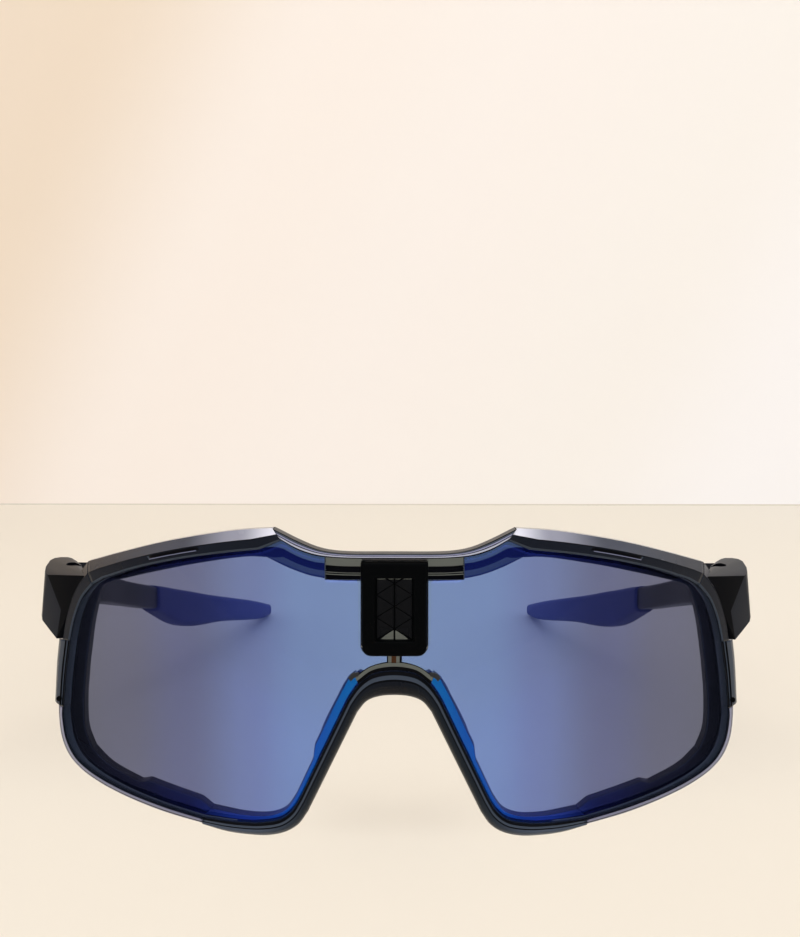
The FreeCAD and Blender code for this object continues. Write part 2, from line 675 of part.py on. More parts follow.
def tipped_box(objects, tilt):
    """The box round some pieces after the set is tipped back by an angle in degrees."""
    box = FreeCAD.BoundBox()
    turn = FreeCAD.Placement(Vector(), FreeCAD.Rotation(Vector(1.0, 0.0, 0.0), -tilt))
    for thing in objects:
        shape = thing.Shape.copy()
        shape.Placement = turn.multiply(shape.Placement)
        box.add(shape.optimalBoundingBox(False, False))
    return box


MOST_TILT = 20.0
HALVINGS = 22


def resting_tilt(front_feet, back_feet):
    """The tilt at which both pairs of feet are equally low, found by halving."""
    low, high = 0.0, MOST_TILT
    for _ in range(HALVINGS):
        middle = (low + high) / 2.0
        if tipped_box(front_feet, middle).ZMin > tipped_box(back_feet, middle).ZMin:
            high = middle
        else:
            low = middle
    return middle


failed = [thing.Label for thing in doc.Objects if {"Invalid", "Error"} & set(thing.State)]
broken = [piece.Label for piece in pieces if piece.Shape.isNull() or not piece.Shape.isValid()]
several = [piece.Label for piece in pieces if len(piece.Shape.Solids) != 1]
if failed or broken or several:
    raise SystemExit(f"failed {failed}, broken {broken}, not one solid {several}")

named = {piece.Label: piece for piece in pieces}
grips = [named["temple_grip_left"], named["temple_grip_right"]]
tilt = resting_tilt([named["nose_rim"]], grips)
box = tipped_box(pieces, tilt)
turn = FreeCAD.Rotation(Vector(1.0, 0.0, 0.0), -tilt)
stand = FreeCAD.Placement(Vector(-box.Center.x, -box.Center.y, -box.ZMin), turn)

os.makedirs("parts", exist_ok=True)
for piece in pieces:
    piece.Placement = stand
doc.recompute()
for piece in pieces:
    piece.Shape.exportStep(os.path.join("parts", piece.Label + ".step"))

hinge = stand.multVec(Vector(dim("hinge_x"), dim("hinge_y"), dim("knuckle_low")))
axis = turn.multVec(Vector(0.0, 0.0, 1.0))
size = f"{box.XLength:.2f} x {box.YLength:.2f} x {box.ZLength:.2f} mm"
print(f"{len(pieces)} pieces, tilt {tilt:.3f} deg, size {size}")
print(f"right hinge at {hinge.x:.4f} {hinge.y:.4f} {hinge.z:.4f}")
print(f"right hinge's axis {axis.x:.6f} {axis.y:.6f} {axis.z:.6f}")
print(f"front frame's origin at {stand.Base.x:.4f} {stand.Base.y:.4f} {stand.Base.z:.4f}")
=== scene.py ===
import itertools
import json
import math

import bmesh
import bpy
import numpy as np
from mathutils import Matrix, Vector


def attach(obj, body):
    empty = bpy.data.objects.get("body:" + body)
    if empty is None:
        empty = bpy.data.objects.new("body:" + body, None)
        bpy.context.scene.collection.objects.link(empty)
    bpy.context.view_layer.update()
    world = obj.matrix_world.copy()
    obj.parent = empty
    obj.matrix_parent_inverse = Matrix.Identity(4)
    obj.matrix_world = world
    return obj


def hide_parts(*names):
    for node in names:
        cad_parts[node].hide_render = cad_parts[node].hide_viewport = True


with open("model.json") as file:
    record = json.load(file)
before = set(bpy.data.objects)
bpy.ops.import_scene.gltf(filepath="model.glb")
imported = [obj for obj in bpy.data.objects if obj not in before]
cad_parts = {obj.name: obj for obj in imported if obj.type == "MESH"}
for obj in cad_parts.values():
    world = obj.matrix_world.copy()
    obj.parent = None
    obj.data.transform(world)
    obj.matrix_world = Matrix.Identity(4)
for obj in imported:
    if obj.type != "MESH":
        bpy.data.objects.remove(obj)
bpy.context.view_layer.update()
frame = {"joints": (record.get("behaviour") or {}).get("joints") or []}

MM = 0.001

# --- the front's own frame ---
# The front is drawn upright, in millimetres: x to the right, y from the lens to the ears, z up, with the
# lens's outer face at y = 0 in the middle. The glasses stand tipped back, and the hinge's axis and place
# say how far.

RIGHT_FOLD = [joint for joint in frame["joints"] if joint["name"] == "temple_right_fold"][0]
HINGE = Vector((66.5, 32.0, 9.6))
TILT = math.atan2(RIGHT_FOLD["axis"][1], RIGHT_FOLD["axis"][2])
COS_TILT = math.cos(TILT)
SIN_TILT = math.sin(TILT)
BASE_Y = RIGHT_FOLD["pos_m"][1] / MM - (HINGE.y * COS_TILT + HINGE.z * SIN_TILT)
BASE_Z = RIGHT_FOLD["pos_m"][2] / MM - (HINGE.z * COS_TILT - HINGE.y * SIN_TILT)

LENS_RADIUS = 97.5
LENS_BACK = 96.0
RIM_FRONT = 98.6
RIM_BACK = 93.4
FLANGE_FRONT = 95.8
FLANGE_BACK = 92.5
BROW_BACK = 92.3
PAD_BACK = 86.6


def stand(point):
    """A point of the front's frame, in millimetres, as it stands in the row's frame, in metres."""
    x, y, z = point
    return (x * MM, (y * COS_TILT + z * SIN_TILT + BASE_Y) * MM, (z * COS_TILT - y * SIN_TILT + BASE_Z) * MM)


def bent(x, radius):
    """How far back a point is that lies on the lens's axis's cylinder of a radius."""
    return LENS_RADIUS - math.sqrt(radius * radius - x * x)


# --- lines and outlines ---


def spline(points, count):
    """Points evenly spaced along a smooth curve through some points."""
    pts = np.array(points, float)
    if len(pts) == 2:
        ends = np.linspace(0.0, 1.0, count)[:, None]
        return pts[0] + (pts[1] - pts[0]) * ends
    padded = np.vstack([2 * pts[0] - pts[1], pts, 2 * pts[-1] - pts[-2]])
    fine = []
    for i in range(1, len(padded) - 2):
        p0, p1, p2, p3 = padded[i - 1:i + 3]
        t0 = 0.0
        t1 = t0 + math.sqrt(np.linalg.norm(p1 - p0))
        t2 = t1 + math.sqrt(np.linalg.norm(p2 - p1))
        t3 = t2 + math.sqrt(np.linalg.norm(p3 - p2))
        for t in np.linspace(t1, t2, 24, endpoint=False):
            a1 = (t1 - t) / (t1 - t0) * p0 + (t - t0) / (t1 - t0) * p1
            a2 = (t2 - t) / (t2 - t1) * p1 + (t - t1) / (t2 - t1) * p2
            a3 = (t3 - t) / (t3 - t2) * p2 + (t - t2) / (t3 - t2) * p3
            b1 = (t2 - t) / (t2 - t0) * a1 + (t - t0) / (t2 - t0) * a2
            b2 = (t3 - t) / (t3 - t1) * a2 + (t - t1) / (t3 - t1) * a3
            fine.append((t2 - t) / (t2 - t1) * b1 + (t - t1) / (t2 - t1) * b2)
    fine.append(pts[-1])
    fine = np.array(fine)
    steps = np.concatenate([[0.0], np.cumsum(np.linalg.norm(np.diff(fine, axis=0), axis=1))])
    wanted = np.linspace(0.0, steps[-1], count)
    return np.stack([np.interp(wanted, steps, fine[:, k]) for k in range(fine.shape[1])], axis=1)


def straight(points, count):
    """Points along straight runs between corners, with every corner kept."""
    lengths = [math.dist(a, b) for a, b in zip(points, points[1:])]
    runs = []
    left = count - 1
    for i, (a, b) in enumerate(zip(points, points[1:])):
        share = left if i == len(lengths) - 1 else max(1, round(lengths[i] / sum(lengths[i:]) * left))
        left -= share
        runs.append(spline([a, b], share + 1))
    return join_runs(*runs)


def join_runs(*runs):
    """One line from several that meet end to end."""
    return np.vstack([runs[0]] + [run[1:] for run in runs[1:]])


def both_sides(points):
    """A curve across the middle, from its right half, which starts at x = 0."""
    return [(-x, z) for x, z in reversed(points[1:])] + list(points)


def on_side(points, side):
    """Points of the right half, on one side."""
    return [(side * point[0],) + tuple(point[1:]) for point in points]


def edge(side, *runs):
    """A line on one side, from runs of (points, count), each a smooth curve unless it names another way."""
    lines = []
    for points, count, *way in runs:
        draw = way[0] if way else spline
        lines.append(draw(on_side(points, side), count))
    return join_runs(*lines)


# --- meshes ---


def put(name, data):
    """A new object in the scene, at the origin."""
    thing = bpy.data.objects.new(name, data)
    bpy.context.scene.collection.objects.link(thing)
    return thing


def new_piece(name, vertices, faces, finishes=()):
    """A closed mesh from points of the front's frame, with its faces turned outwards."""
    mesh = bpy.data.meshes.new(name)
    mesh.from_pydata([stand(v) for v in vertices], [], faces)
    for face, finish in zip(mesh.polygons, finishes):
        face.material_index = finish
    work = bmesh.new()
    work.from_mesh(mesh)
    bmesh.ops.remove_doubles(work, verts=work.verts, dist=1e-7)
    bmesh.ops.recalc_face_normals(work, faces=work.faces)
    work.to_mesh(mesh)
    work.free()
    for face in mesh.polygons:
        face.use_smooth = True
    return put(name, mesh)


def settle(piece):
    """Bakes a piece's modifiers into its mesh."""
    if not piece.modifiers:
        return piece
    graph = bpy.context.evaluated_depsgraph_get()
    mesh = bpy.data.meshes.new_from_object(piece.evaluated_get(graph))
    piece.modifiers.clear()
    piece.data = mesh
    return piece


def even_normals(piece):
    """Lets the large faces keep their own direction, so that flats stay flat beside rounded edges."""
    modifier = piece.modifiers.new("even_normals", "WEIGHTED_NORMAL")
    modifier.keep_sharp = True
    return piece


def soften(piece, width, segments=3, angle=28.0):
    """Rounds every edge sharper than an angle by a width in millimetres."""
    modifier = piece.modifiers.new("rounded_edges", "BEVEL")
    modifier.width = width * MM
    modifier.segments = segments
    modifier.limit_method = "ANGLE"
    modifier.angle_limit = math.radians(angle)
    modifier.harden_normals = False
    settle(piece)
    for face in piece.data.polygons:
        face.use_smooth = True
    return even_normals(piece)


def join_pieces(name, pieces):
    """Several closed shells as one piece."""
    mesh = bpy.data.meshes.new(name)
    work = bmesh.new()
    for piece in pieces:
        settle(piece)
        work.from_mesh(piece.data)
    work.to_mesh(mesh)
    work.free()
    for piece in pieces:
        bpy.data.objects.remove(piece)
    for face in mesh.polygons:
        face.use_smooth = True
    return even_normals(put(name, mesh))


def carve(piece, cutters):
    """Cuts closed meshes out of a piece."""
    for cutter in cutters:
        modifier = piece.modifiers.new("cut", "BOOLEAN")
        modifier.operation = "DIFFERENCE"
        modifier.solver = "EXACT"
        modifier.object = cutter
    settle(piece)
    for cutter in cutters:
        bpy.data.objects.remove(cutter)
    return piece


def rounded_section(corners, radius, steps=4):
    """A closed section with its corners rounded; corners are (across, depth), in millimetres."""
    points = []
    count = len(corners)
    for i in range(count):
        here = np.array(corners[i], float)
        before = np.array(corners[i - 1], float) - here
        after = np.array(corners[(i + 1) % count], float) - here
        limit = 0.45 * min(np.linalg.norm(before), np.linalg.norm(after))
        cut = min(radius if np.isscalar(radius) else radius[i], limit)
        start = here + before / np.linalg.norm(before) * cut
        end = here + after / np.linalg.norm(after) * cut
        for t in np.linspace(0.0, 1.0, steps + 1):
            points.append((1 - t) ** 2 * start + 2 * t * (1 - t) * here + t * t * end)
    return points


def band(name, outer, inner, section, closed=False):
    """A rim between two edge lines seen from the front, bent round the lens's axis.

    section(width, share) gives the closed section at a share of the way along: points (across, radius), where
    across runs from the outer line, 0, to the inner line, width.
    """
    count = len(outer)
    vertices = []
    for i in range(count):
        start = np.array(outer[i])
        step = np.array(inner[i]) - start
        width = float(np.linalg.norm(step))
        ring = section(width, i / (count - 1))
        for across, radius in ring:
            x, z = start + step * (across / width)
            vertices.append((x, bent(x, radius), z))
    size = len(ring)
    stretches = getattr(section, "finishes", [0])
    per_corner = size // len(stretches)
    faces = []
    finishes = []
    for i in range(count if closed else count - 1):
        near = i * size
        far = ((i + 1) % count) * size
        for k in range(size):
            following = (k + 1) % size
            faces.append((near + k, near + following, far + following, far + k))
            finishes.append(stretches[min(k // per_corner, len(stretches) - 1)])
    if not closed:
        faces.append(tuple(range(size)))
        faces.append(tuple(range((count - 1) * size, count * size)))
        finishes += [0, 0]
    return even_normals(new_piece(name, vertices, faces, finishes=finishes))


def loft(name, rings, cap=True):
    """A closed skin over rings of points that all have the same count."""
    size = len(rings[0])
    vertices = [point for ring in rings for point in ring]
    faces = []
    for i in range(len(rings) - 1):
        for k in range(size):
            following = (k + 1) % size
            faces.append((i * size + k, i * size + following, (i + 1) * size + following, (i + 1) * size + k))
    if cap:
        faces.append(tuple(range(size)))
        faces.append(tuple(range((len(rings) - 1) * size, len(rings) * size)))
    return even_normals(new_piece(name, vertices, faces))


def lathe(name, centre, profile, turns=40, direction="z"):
    """A ring turned about an upright or a backward axis; profile is a closed list of (radius, height)."""
    rings = []
    for i in range(turns):
        angle = 2.0 * math.pi * i / turns
        ring = []
        for radius, height in profile:
            a = radius * math.cos(angle)
            b = radius * math.sin(angle)
            if direction == "z":
                ring.append((centre[0] + a, centre[1] + b, centre[2] + height))
            else:
                ring.append((centre[0] + a, centre[1] + height, centre[2] + b))
        rings.append(ring)
    rings.append(rings[0])
    return loft(name, rings, cap=False)


def hull(name, corners):
    """The convex solid round some corners."""
    work = bmesh.new()
    for corner in corners:
        work.verts.new(stand(corner))
    bmesh.ops.convex_hull(work, input=work.verts)
    bmesh.ops.dissolve_limit(work, angle_limit=math.radians(1.0), verts=work.verts, edges=work.edges)
    bmesh.ops.recalc_face_normals(work, faces=work.faces)
    mesh = bpy.data.meshes.new(name)
    work.to_mesh(mesh)
    work.free()
    return put(name, mesh)


def block_of(name, low, high):
    """A box between two corners, as a hull."""
    return hull(name, itertools.product(*zip(low, high)))


# --- materials ---

TINT_REACH = 0.066      # metres from the middle to the front's ends, over which its colours change


def srgb(code):
    """A hex colour as linear red, green, blue and alpha."""
    parts = [int(code[i:i + 2], 16) / 255.0 for i in (0, 2, 4)]
    return tuple(c / 12.92 if c <= 0.04045 else ((c + 0.055) / 1.055) ** 2.4 for c in parts) + (1.0,)


def add_node(tree, kind, settings=None, links=None):
    """Adds one node, sets its values and inputs by name, and links its inputs from other sockets."""
    node = tree.nodes.new(kind)
    for key, value in (settings or {}).items():
        if isinstance(key, str) and hasattr(node, key):
            setattr(node, key, value)
        else:
            node.inputs[key].default_value = value
    for key, socket in (links or {}).items():
        tree.links.new(socket, node.inputs[key])
    return node


def new_material(name):
    """A bare material: gives back it, its tree, its output's surface input and the point's own place."""
    material = bpy.data.materials.new(name)
    material.use_nodes = True
    tree = material.node_tree
    tree.nodes.clear()
    surface = add_node(tree, "ShaderNodeOutputMaterial").inputs["Surface"]
    spot = add_node(tree, "ShaderNodeTexCoord").outputs["Object"]
    return material, tree, surface, spot


def across_share(tree, spot):
    """How far a point is from the middle, 0 in the middle and 1 at the front's ends."""
    split = add_node(tree, "ShaderNodeSeparateXYZ", {}, {"Vector": spot})
    away = add_node(tree, "ShaderNodeMath", {"operation": "ABSOLUTE"}, {0: split.outputs["X"]})
    share = add_node(tree, "ShaderNodeMath", {"operation": "DIVIDE", 1: TINT_REACH}, {0: away.outputs[0]})
    return share.outputs[0]


def colour_steps(ramp, stops):
    """Gives a colour ramp smooth steps, each (place, hex), and gives back its colour."""
    ramp.color_ramp.interpolation = "EASE"
    elements = ramp.color_ramp.elements
    while len(elements) < len(stops):
        elements.new(0.5)
    for element, (position, code) in zip(elements, stops):
        element.position = position
        element.color = srgb(code)
    return ramp.outputs["Color"]


def fine_bump(tree, spot, scale, strength, distance):
    """A slight unevenness of a moulded skin; scale is in features a metre, distance in metres."""
    noise = add_node(tree, "ShaderNodeTexNoise", {"Scale": scale, "Detail": 3.0}, {"Vector": spot})
    bump = add_node(
        tree, "ShaderNodeBump", {"Strength": strength, "Distance": distance}, {"Height": noise.outputs["Fac"]}
    )
    return bump.outputs["Normal"]


def uneven_roughness(tree, spot, scale, low, high):
    """Roughness that wanders between two values, as handled plastic does; scale is in features a metre."""
    noise = add_node(tree, "ShaderNodeTexNoise", {"Scale": scale, "Detail": 4.0}, {"Vector": spot})
    mapped = add_node(
        tree, "ShaderNodeMapRange", {"To Min": low, "To Max": high}, {"Value": noise.outputs["Fac"]}
    )
    return mapped.outputs["Result"]


def crystal_nylon(name, tint, haze, clear, gloss):
    """Clear nylon, dyed smoke blue and injection moulded in a polished tool.

    The skin is glassy and dark, and every edge and step in it bends the light, so it shows as crisp light and
    dark lines; these lines are painted, as lighter and darker copies of it. The dye is a touch uneven where
    the melt flowed.
    """
    material, tree, surface, spot = new_material(name)
    body = add_node(
        tree, "ShaderNodeBsdfPrincipled",
        {"Base Color": srgb(tint), "IOR": 1.51, "Transmission Weight": clear, "Specular IOR Level": gloss},
        {
            "Roughness": uneven_roughness(tree, spot, 160.0, haze, haze + 0.03),
            "Normal": fine_bump(tree, spot, 260.0, 0.05, 0.0002),
        },
    )
    tree.links.new(body.outputs[0], surface)
    return material


def shaded_nylon(name, tones, gloss):
    """The same nylon in a wide stretch, where the light it gathers changes from the nose to the lugs; a
    colour ramp along x paints that light and shade.
    """
    material, tree, surface, spot = new_material(name)
    ramp = add_node(tree, "ShaderNodeValToRGB", {}, {"Fac": across_share(tree, spot)})
    body = add_node(
        tree, "ShaderNodeBsdfPrincipled", {"IOR": 1.51, "Specular IOR Level": gloss},
        {
            "Base Color": colour_steps(ramp, tones),
            "Roughness": uneven_roughness(tree, spot, 160.0, 0.22, 0.3),
        },
    )
    tree.links.new(body.outputs[0], surface)
    return material


def satin_nylon(name, colour, roughness, gloss):
    """Black glass-filled nylon from a spark-eroded tool: a fine even grain that spreads the highlight."""
    material, tree, surface, spot = new_material(name)
    grain = add_node(tree, "ShaderNodeTexVoronoi", {"Scale": 4200.0}, {"Vector": spot})
    bump = add_node(
        tree, "ShaderNodeBump", {"Strength": 0.25, "Distance": 0.00004}, {"Height": grain.outputs["Distance"]}
    )
    body = add_node(
        tree, "ShaderNodeBsdfPrincipled",
        {"Base Color": srgb(colour), "IOR": 1.53, "Specular IOR Level": gloss},
        {
            "Roughness": uneven_roughness(tree, spot, 300.0, roughness, roughness + 0.1),
            "Normal": bump.outputs["Normal"],
        },
    )
    tree.links.new(body.outputs[0], surface)
    return material


def soft_elastomer(name, colour, worn_colour):
    """Thermoplastic elastomer over the nylon, moulded matt: it drinks light, with a faint dusty sheen."""
    material, tree, surface, spot = new_material(name)
    cloud = add_node(tree, "ShaderNodeTexNoise", {"Scale": 130.0, "Detail": 5.0}, {"Vector": spot})
    skin = add_node(
        tree, "ShaderNodeMix", {"data_type": "RGBA", 6: srgb(colour), 7: srgb(worn_colour)},
        {0: cloud.outputs["Fac"]},
    )
    body = add_node(
        tree, "ShaderNodeBsdfPrincipled", {"IOR": 1.5, "Sheen Weight": 0.12, "Sheen Roughness": 0.5},
        {
            "Base Color": skin.outputs[2],
            "Roughness": uneven_roughness(tree, spot, 220.0, 0.55, 0.72),
            "Normal": fine_bump(tree, spot, 5200.0, 0.35, 0.00004),
        },
    )
    tree.links.new(body.outputs[0], surface)
    return material


def turned_steel(name):
    """Stainless steel, turned on a lathe: small bright facets under a faint, uneven tool grain."""
    material, tree, surface, spot = new_material(name)
    body = add_node(
        tree, "ShaderNodeBsdfPrincipled", {"Base Color": srgb("b9bbbf"), "Metallic": 1.0},
        {
            "Roughness": uneven_roughness(tree, spot, 900.0, 0.22, 0.4),
            "Normal": fine_bump(tree, spot, 6000.0, 0.3, 0.00002),
        },
    )
    tree.links.new(body.outputs[0], surface)
    return material


def mirror_lens(name):
    """Polycarbonate, moulded and hard coated, with a thin mirror coat laid on in vacuum.

    The eye sees through it to what is behind, sky blue in the middle and grey towards the ends, as the coat
    thins there, and what it mirrors is a weak dark blue. Each of the two faces carries half the dye.
    """
    material, tree, surface, spot = new_material(name)
    share = across_share(tree, spot)
    dye = colour_steps(
        add_node(tree, "ShaderNodeValToRGB", {}, {"Fac": share}),
        [
            (0.0, "b2c5e0"), (0.26, "b1c3df"), (0.42, "aebad7"), (0.62, "a8aec6"), (0.8, "aaaec1"),
            (1.0, "aaaebd"),
        ],
    )
    coat = colour_steps(
        add_node(tree, "ShaderNodeValToRGB", {}, {"Fac": share}),
        [(0.0, "19245d"), (0.3, "18215a"), (0.58, "12163a"), (0.8, "11131f"), (1.0, "0d0f18")],
    )
    clear = add_node(tree, "ShaderNodeBsdfTransparent", {}, {"Color": dye})
    mirror = add_node(tree, "ShaderNodeBsdfGlossy", {"Roughness": 0.04}, {"Color": coat})
    both = add_node(tree, "ShaderNodeAddShader", {}, {0: clear.outputs[0], 1: mirror.outputs[0]})
    tree.links.new(both.outputs[0], surface)
    return material


# --- outlines of the front, from the front, right half, in millimetres ---

ARCH_UNDER = [(0.0, -2.1), (3.1, -2.4), (5.2, -3.3), (6.9, -5.3)]
LEG_OUT = [(6.9, -5.3), (16.2, -24.3)]
LOBE_OUT = [
    (16.2, -24.3), (18.0, -26.8), (20.3, -28.3), (23.7, -29.2), (27.6, -29.35), (32.0, -29.1), (36.6, -28.2),
]
RIM_OUT = [
    (36.6, -28.0), (45.6, -26.6), (54.1, -24.7), (59.5, -23.1), (63.8, -21.2), (66.8, -18.8), (68.5, -15.6),
    (69.1, -12.0), (69.2, -9.2),
]
STRUT_OUT = [(69.9, -8.4), (69.3, 0.0), (68.7, 4.6)]
CORNER_OUT = [(68.7, 4.6), (67.9, 9.5), (66.1, 14.6), (64.3, 17.8), (62.0, 20.6)]
WING_TOP = [(62.0, 20.6), (53.8, 23.1), (45.3, 25.4), (37.1, 27.1), (29.3, 28.3), (22.8, 28.8)]
DIP_TOP = [(22.8, 28.8), (21.7, 28.3), (17.9, 26.5), (14.2, 25.1), (10.5, 24.5), (0.0, 24.4)]

ARCH_OVER = [(0.0, 2.8), (4.1, 2.1), (6.0, 0.8), (7.4, -0.8), (8.7, -2.8)]
LEG_IN = [(8.7, -2.8), (17.5, -21.2)]
LOBE_IN = [(17.5, -21.2), (19.0, -23.8), (21.2, -25.7), (25.4, -26.7), (30.0, -26.9), (36.6, -26.7)]
RIM_IN = [
    (36.6, -26.7), (45.7, -25.1), (54.4, -23.1), (61.3, -20.7), (64.6, -18.6), (66.7, -15.4), (67.6, -11.0),
    (67.5, -9.2),
]
STRUT_IN = [(67.5, -9.2), (66.9, -3.0), (65.7, 4.6)]
CORNER_IN = [(65.7, 4.6), (64.4, 9.5), (62.5, 13.6), (60.0, 16.4), (57.6, 17.8)]
WING_LOW = [(57.6, 17.8), (49.7, 20.5), (41.3, 22.5), (33.3, 23.9), (25.2, 24.9)]
PEAK_LOW = [(25.2, 24.9), (21.1, 26.7)]
DIP_LOW = [(21.1, 26.7), (18.0, 25.0), (14.8, 24.0), (10.6, 23.6), (0.0, 23.5)]

WINDOW_FOOT = [(7.4, 1.9), (8.8, 0.7)]
WINDOW_NOSE = [(8.8, 0.7), (11.0, -3.6), (15.0, -11.9)]
WINDOW_STEP = [(15.0, -11.9), (15.3, -14.6), (18.6, -21.7)]
WINDOW_LOBE = [(18.6, -21.7), (20.4, -24.3), (23.0, -25.6), (27.5, -26.0), (35.0, -25.3)]
WINDOW_TAB = [(35.0, -25.3), (37.2, -23.8), (48.2, -21.5), (50.0, -22.1)]
WINDOW_LOW = [(50.0, -22.1), (57.2, -19.7), (61.0, -17.2)]
WINDOW_OUTER = [(61.0, -17.2), (62.7, -13.8), (63.1, -8.0), (62.4, 0.0)]
WINDOW_SIDE = [(62.4, 0.0), (60.9, 9.1), (59.6, 13.4), (58.3, 16.0), (55.0, 17.4)]
WINDOW_BROW = [(55.0, 17.4), (48.0, 19.3), (37.6, 21.7), (27.7, 23.3), (24.2, 23.3)]
WINDOW_DIP = [(24.2, 23.3), (20.0, 21.4), (16.2, 20.1), (13.0, 19.5)]
WINDOW_HEAD = [(13.0, 19.2), (9.0, 19.1), (6.0, 19.1)]

SIDE_SEAT_OUT = [(66.7, -15.4), (67.6, -11.0), (67.1, -4.5), (65.7, 4.6)]
DIP_SEAT_OUT = [(21.1, 26.7), (18.0, 25.0), (14.8, 24.0), (13.0, 23.85)]
HEAD_SEAT_OUT = [(13.0, 23.85), (10.6, 23.6), (6.0, 23.55)]

SIDES = ((-1, "left"), (1, "right"))

# --- sections ---


def profile(crown, back, radius, front, steps=2, settle_by=None, rest=0):
    """A section with flat stretches in front, each with its own finish, and a plain back.

    front lists (share of the width, drop below the crown, finish of the stretch that starts there) from the
    outer edge to the inner one. A share may be a pair, which moves from its first value to its second by the
    time the band has run settle_by of its length.
    """
    def section(width, along):
        grown = min(along / settle_by, 1.0) if settle_by else 1.0
        corners = []
        for share, drop, finish in front:
            if isinstance(share, tuple):
                share = share[0] + (share[1] - share[0]) * grown
            corners.append((share * width, crown - drop))
        corners += [(width, back), (0.0, back)]
        return rounded_section(corners, radius, steps)

    section.finishes = [finish for share, drop, finish in front] + [rest, rest]
    return section


# --- the front's pieces ---

made = []      # (piece, body, the node it stands for, material slot)


def keep(piece, body, node, slot, *finishes):
    """Gives a finished piece its materials and notes the body it rides on and the node it stands for."""
    numbers = [face.material_index for face in piece.data.polygons]
    piece.data.materials.clear()
    for finish in finishes:
        piece.data.materials.append(finish)
    for face, number in zip(piece.data.polygons, numbers):
        face.material_index = min(number, len(finishes) - 1)
    made.append((piece, body, node, slot))


def keep_crystal(piece, node, slot="frame_crystal"):
    """Keeps a piece of the front that is smoke crystal nylon."""
    keep(piece, "front", node, slot, *FRONT_FINISHES)


SMOKE = crystal_nylon("smoke_crystal_nylon", "121722", 0.10, 0.1, 0.12)
# Painted light: a ramp from light near the brow's peaks to dark at the lugs, on the brow's sloping top facet.
PAINTED_FACET_LIGHT = shaded_nylon(
    "smoke_crystal_facet_painted_light", [(0.33, "dcdeeb"), (0.45, "8c8e9d"), (0.62, "3a3f4d"), (0.95, "1d202a")], 0.08
)
# Painted highlight: a near white tone for the bright lines along edges and fillets.
PAINTED_HIGHLIGHT = crystal_nylon("smoke_crystal_painted_highlight", "b4b7c8", 0.10, 0.0, 0.3)
# Painted shade: a near black tone for dark lines, grooves and faces turned away from the light.
PAINTED_SHADE = crystal_nylon("smoke_crystal_shadow", "05060a", 0.30, 0.0, 0.04)
# Painted highlight, dimmer: a grey tone for soft light lines along fillets, and for the lens's cut edges.
PAINTED_DIM_HIGHLIGHT = crystal_nylon("smoke_crystal_painted_dim_highlight", "3a424e", 0.16, 0.1, 0.08)
# Painted reflection: a pale lavender tone for faces that mirror the bright room.
PAINTED_REFLECTION = crystal_nylon("smoke_crystal_painted_reflection", "8083a0", 0.10, 0.1, 0.2)
# A lighter grey tone: it colours the neck web and its lip, and is painted light on the seats' ledges and on
# the plates behind the vent's openings.
WEB_TONE_AND_PAINTED_LIGHT = crystal_nylon("smoke_crystal_thin_web_and_painted_light", "62655f", 0.20, 0.1, 0.1)
DUSK = crystal_nylon("smoke_crystal_lug", "24262c", 0.28, 0.0, 0.06)
TUBE = shaded_nylon("smoke_crystal_tube", [(0.0, "0a0e16"), (0.22, "141b23"), (0.42, "454d5a")], 0.15)
SEAT_BLUE = shaded_nylon(
    "smoke_crystal_seat",
    [(0.1, "0aa0c0"), (0.22, "1a80b6"), (0.42, "3355a4"), (0.62, "1c2240"), (1.0, "171a20")], 0.1,
)
AMBER = crystal_nylon("smoke_crystal_gate_stub", "402511", 0.20, 0.1, 0.1)
# Painted light: a pale tone for the ledge behind the lens, where it catches the light.
LIT_LEDGE_NYLON = crystal_nylon("smoke_crystal_painted_lit_ledge", "888e86", 0.20, 0.1, 0.1)
FRONT_FINISHES = (SMOKE, PAINTED_FACET_LIGHT, PAINTED_HIGHLIGHT, PAINTED_SHADE, PAINTED_DIM_HIGHLIGHT, PAINTED_REFLECTION, WEB_TONE_AND_PAINTED_LIGHT, DUSK, TUBE, SEAT_BLUE, AMBER, LIT_LEDGE_NYLON)
BASE, FACET_LIGHT, HIGHLIGHT, SHADOW, DIM_HIGHLIGHT, REFLECTION, WEB_LIGHT, BODY, ROUND, BLUE, STUB, LIT_LEDGE = range(12)

BLOCK_NYLON = satin_nylon("black_glass_filled_nylon", "020304", 0.45, 0.03)
VENT_NYLON = satin_nylon("black_vent_nylon", "131417", 0.5, 0.1)
ARM_NYLON = satin_nylon("dark_smoke_arm_nylon", "1c1d22", 0.3, 0.3)
GRIP_RUBBER = soft_elastomer("royal_blue_elastomer", "1c2b6a", "233276")
PAD_RUBBER = soft_elastomer("black_pad_elastomer", "06080d", "0b0d14")
STEEL = turned_steel("turned_stainless_steel")
LENS_MATERIAL = mirror_lens("blue_mirror_polycarbonate")

WING_STRETCHES = [
    (0.0, 3.2, FACET_LIGHT), (0.45, 0.0, SHADOW), (0.49, 0.0, BASE), (0.9, 0.0, DIM_HIGHLIGHT), (1.0, 0.45, BASE),
]
WING = profile(RIM_FRONT, BROW_BACK, 0.1, WING_STRETCHES)
CORNER = profile(RIM_FRONT, RIM_BACK, 0.1, WING_STRETCHES)
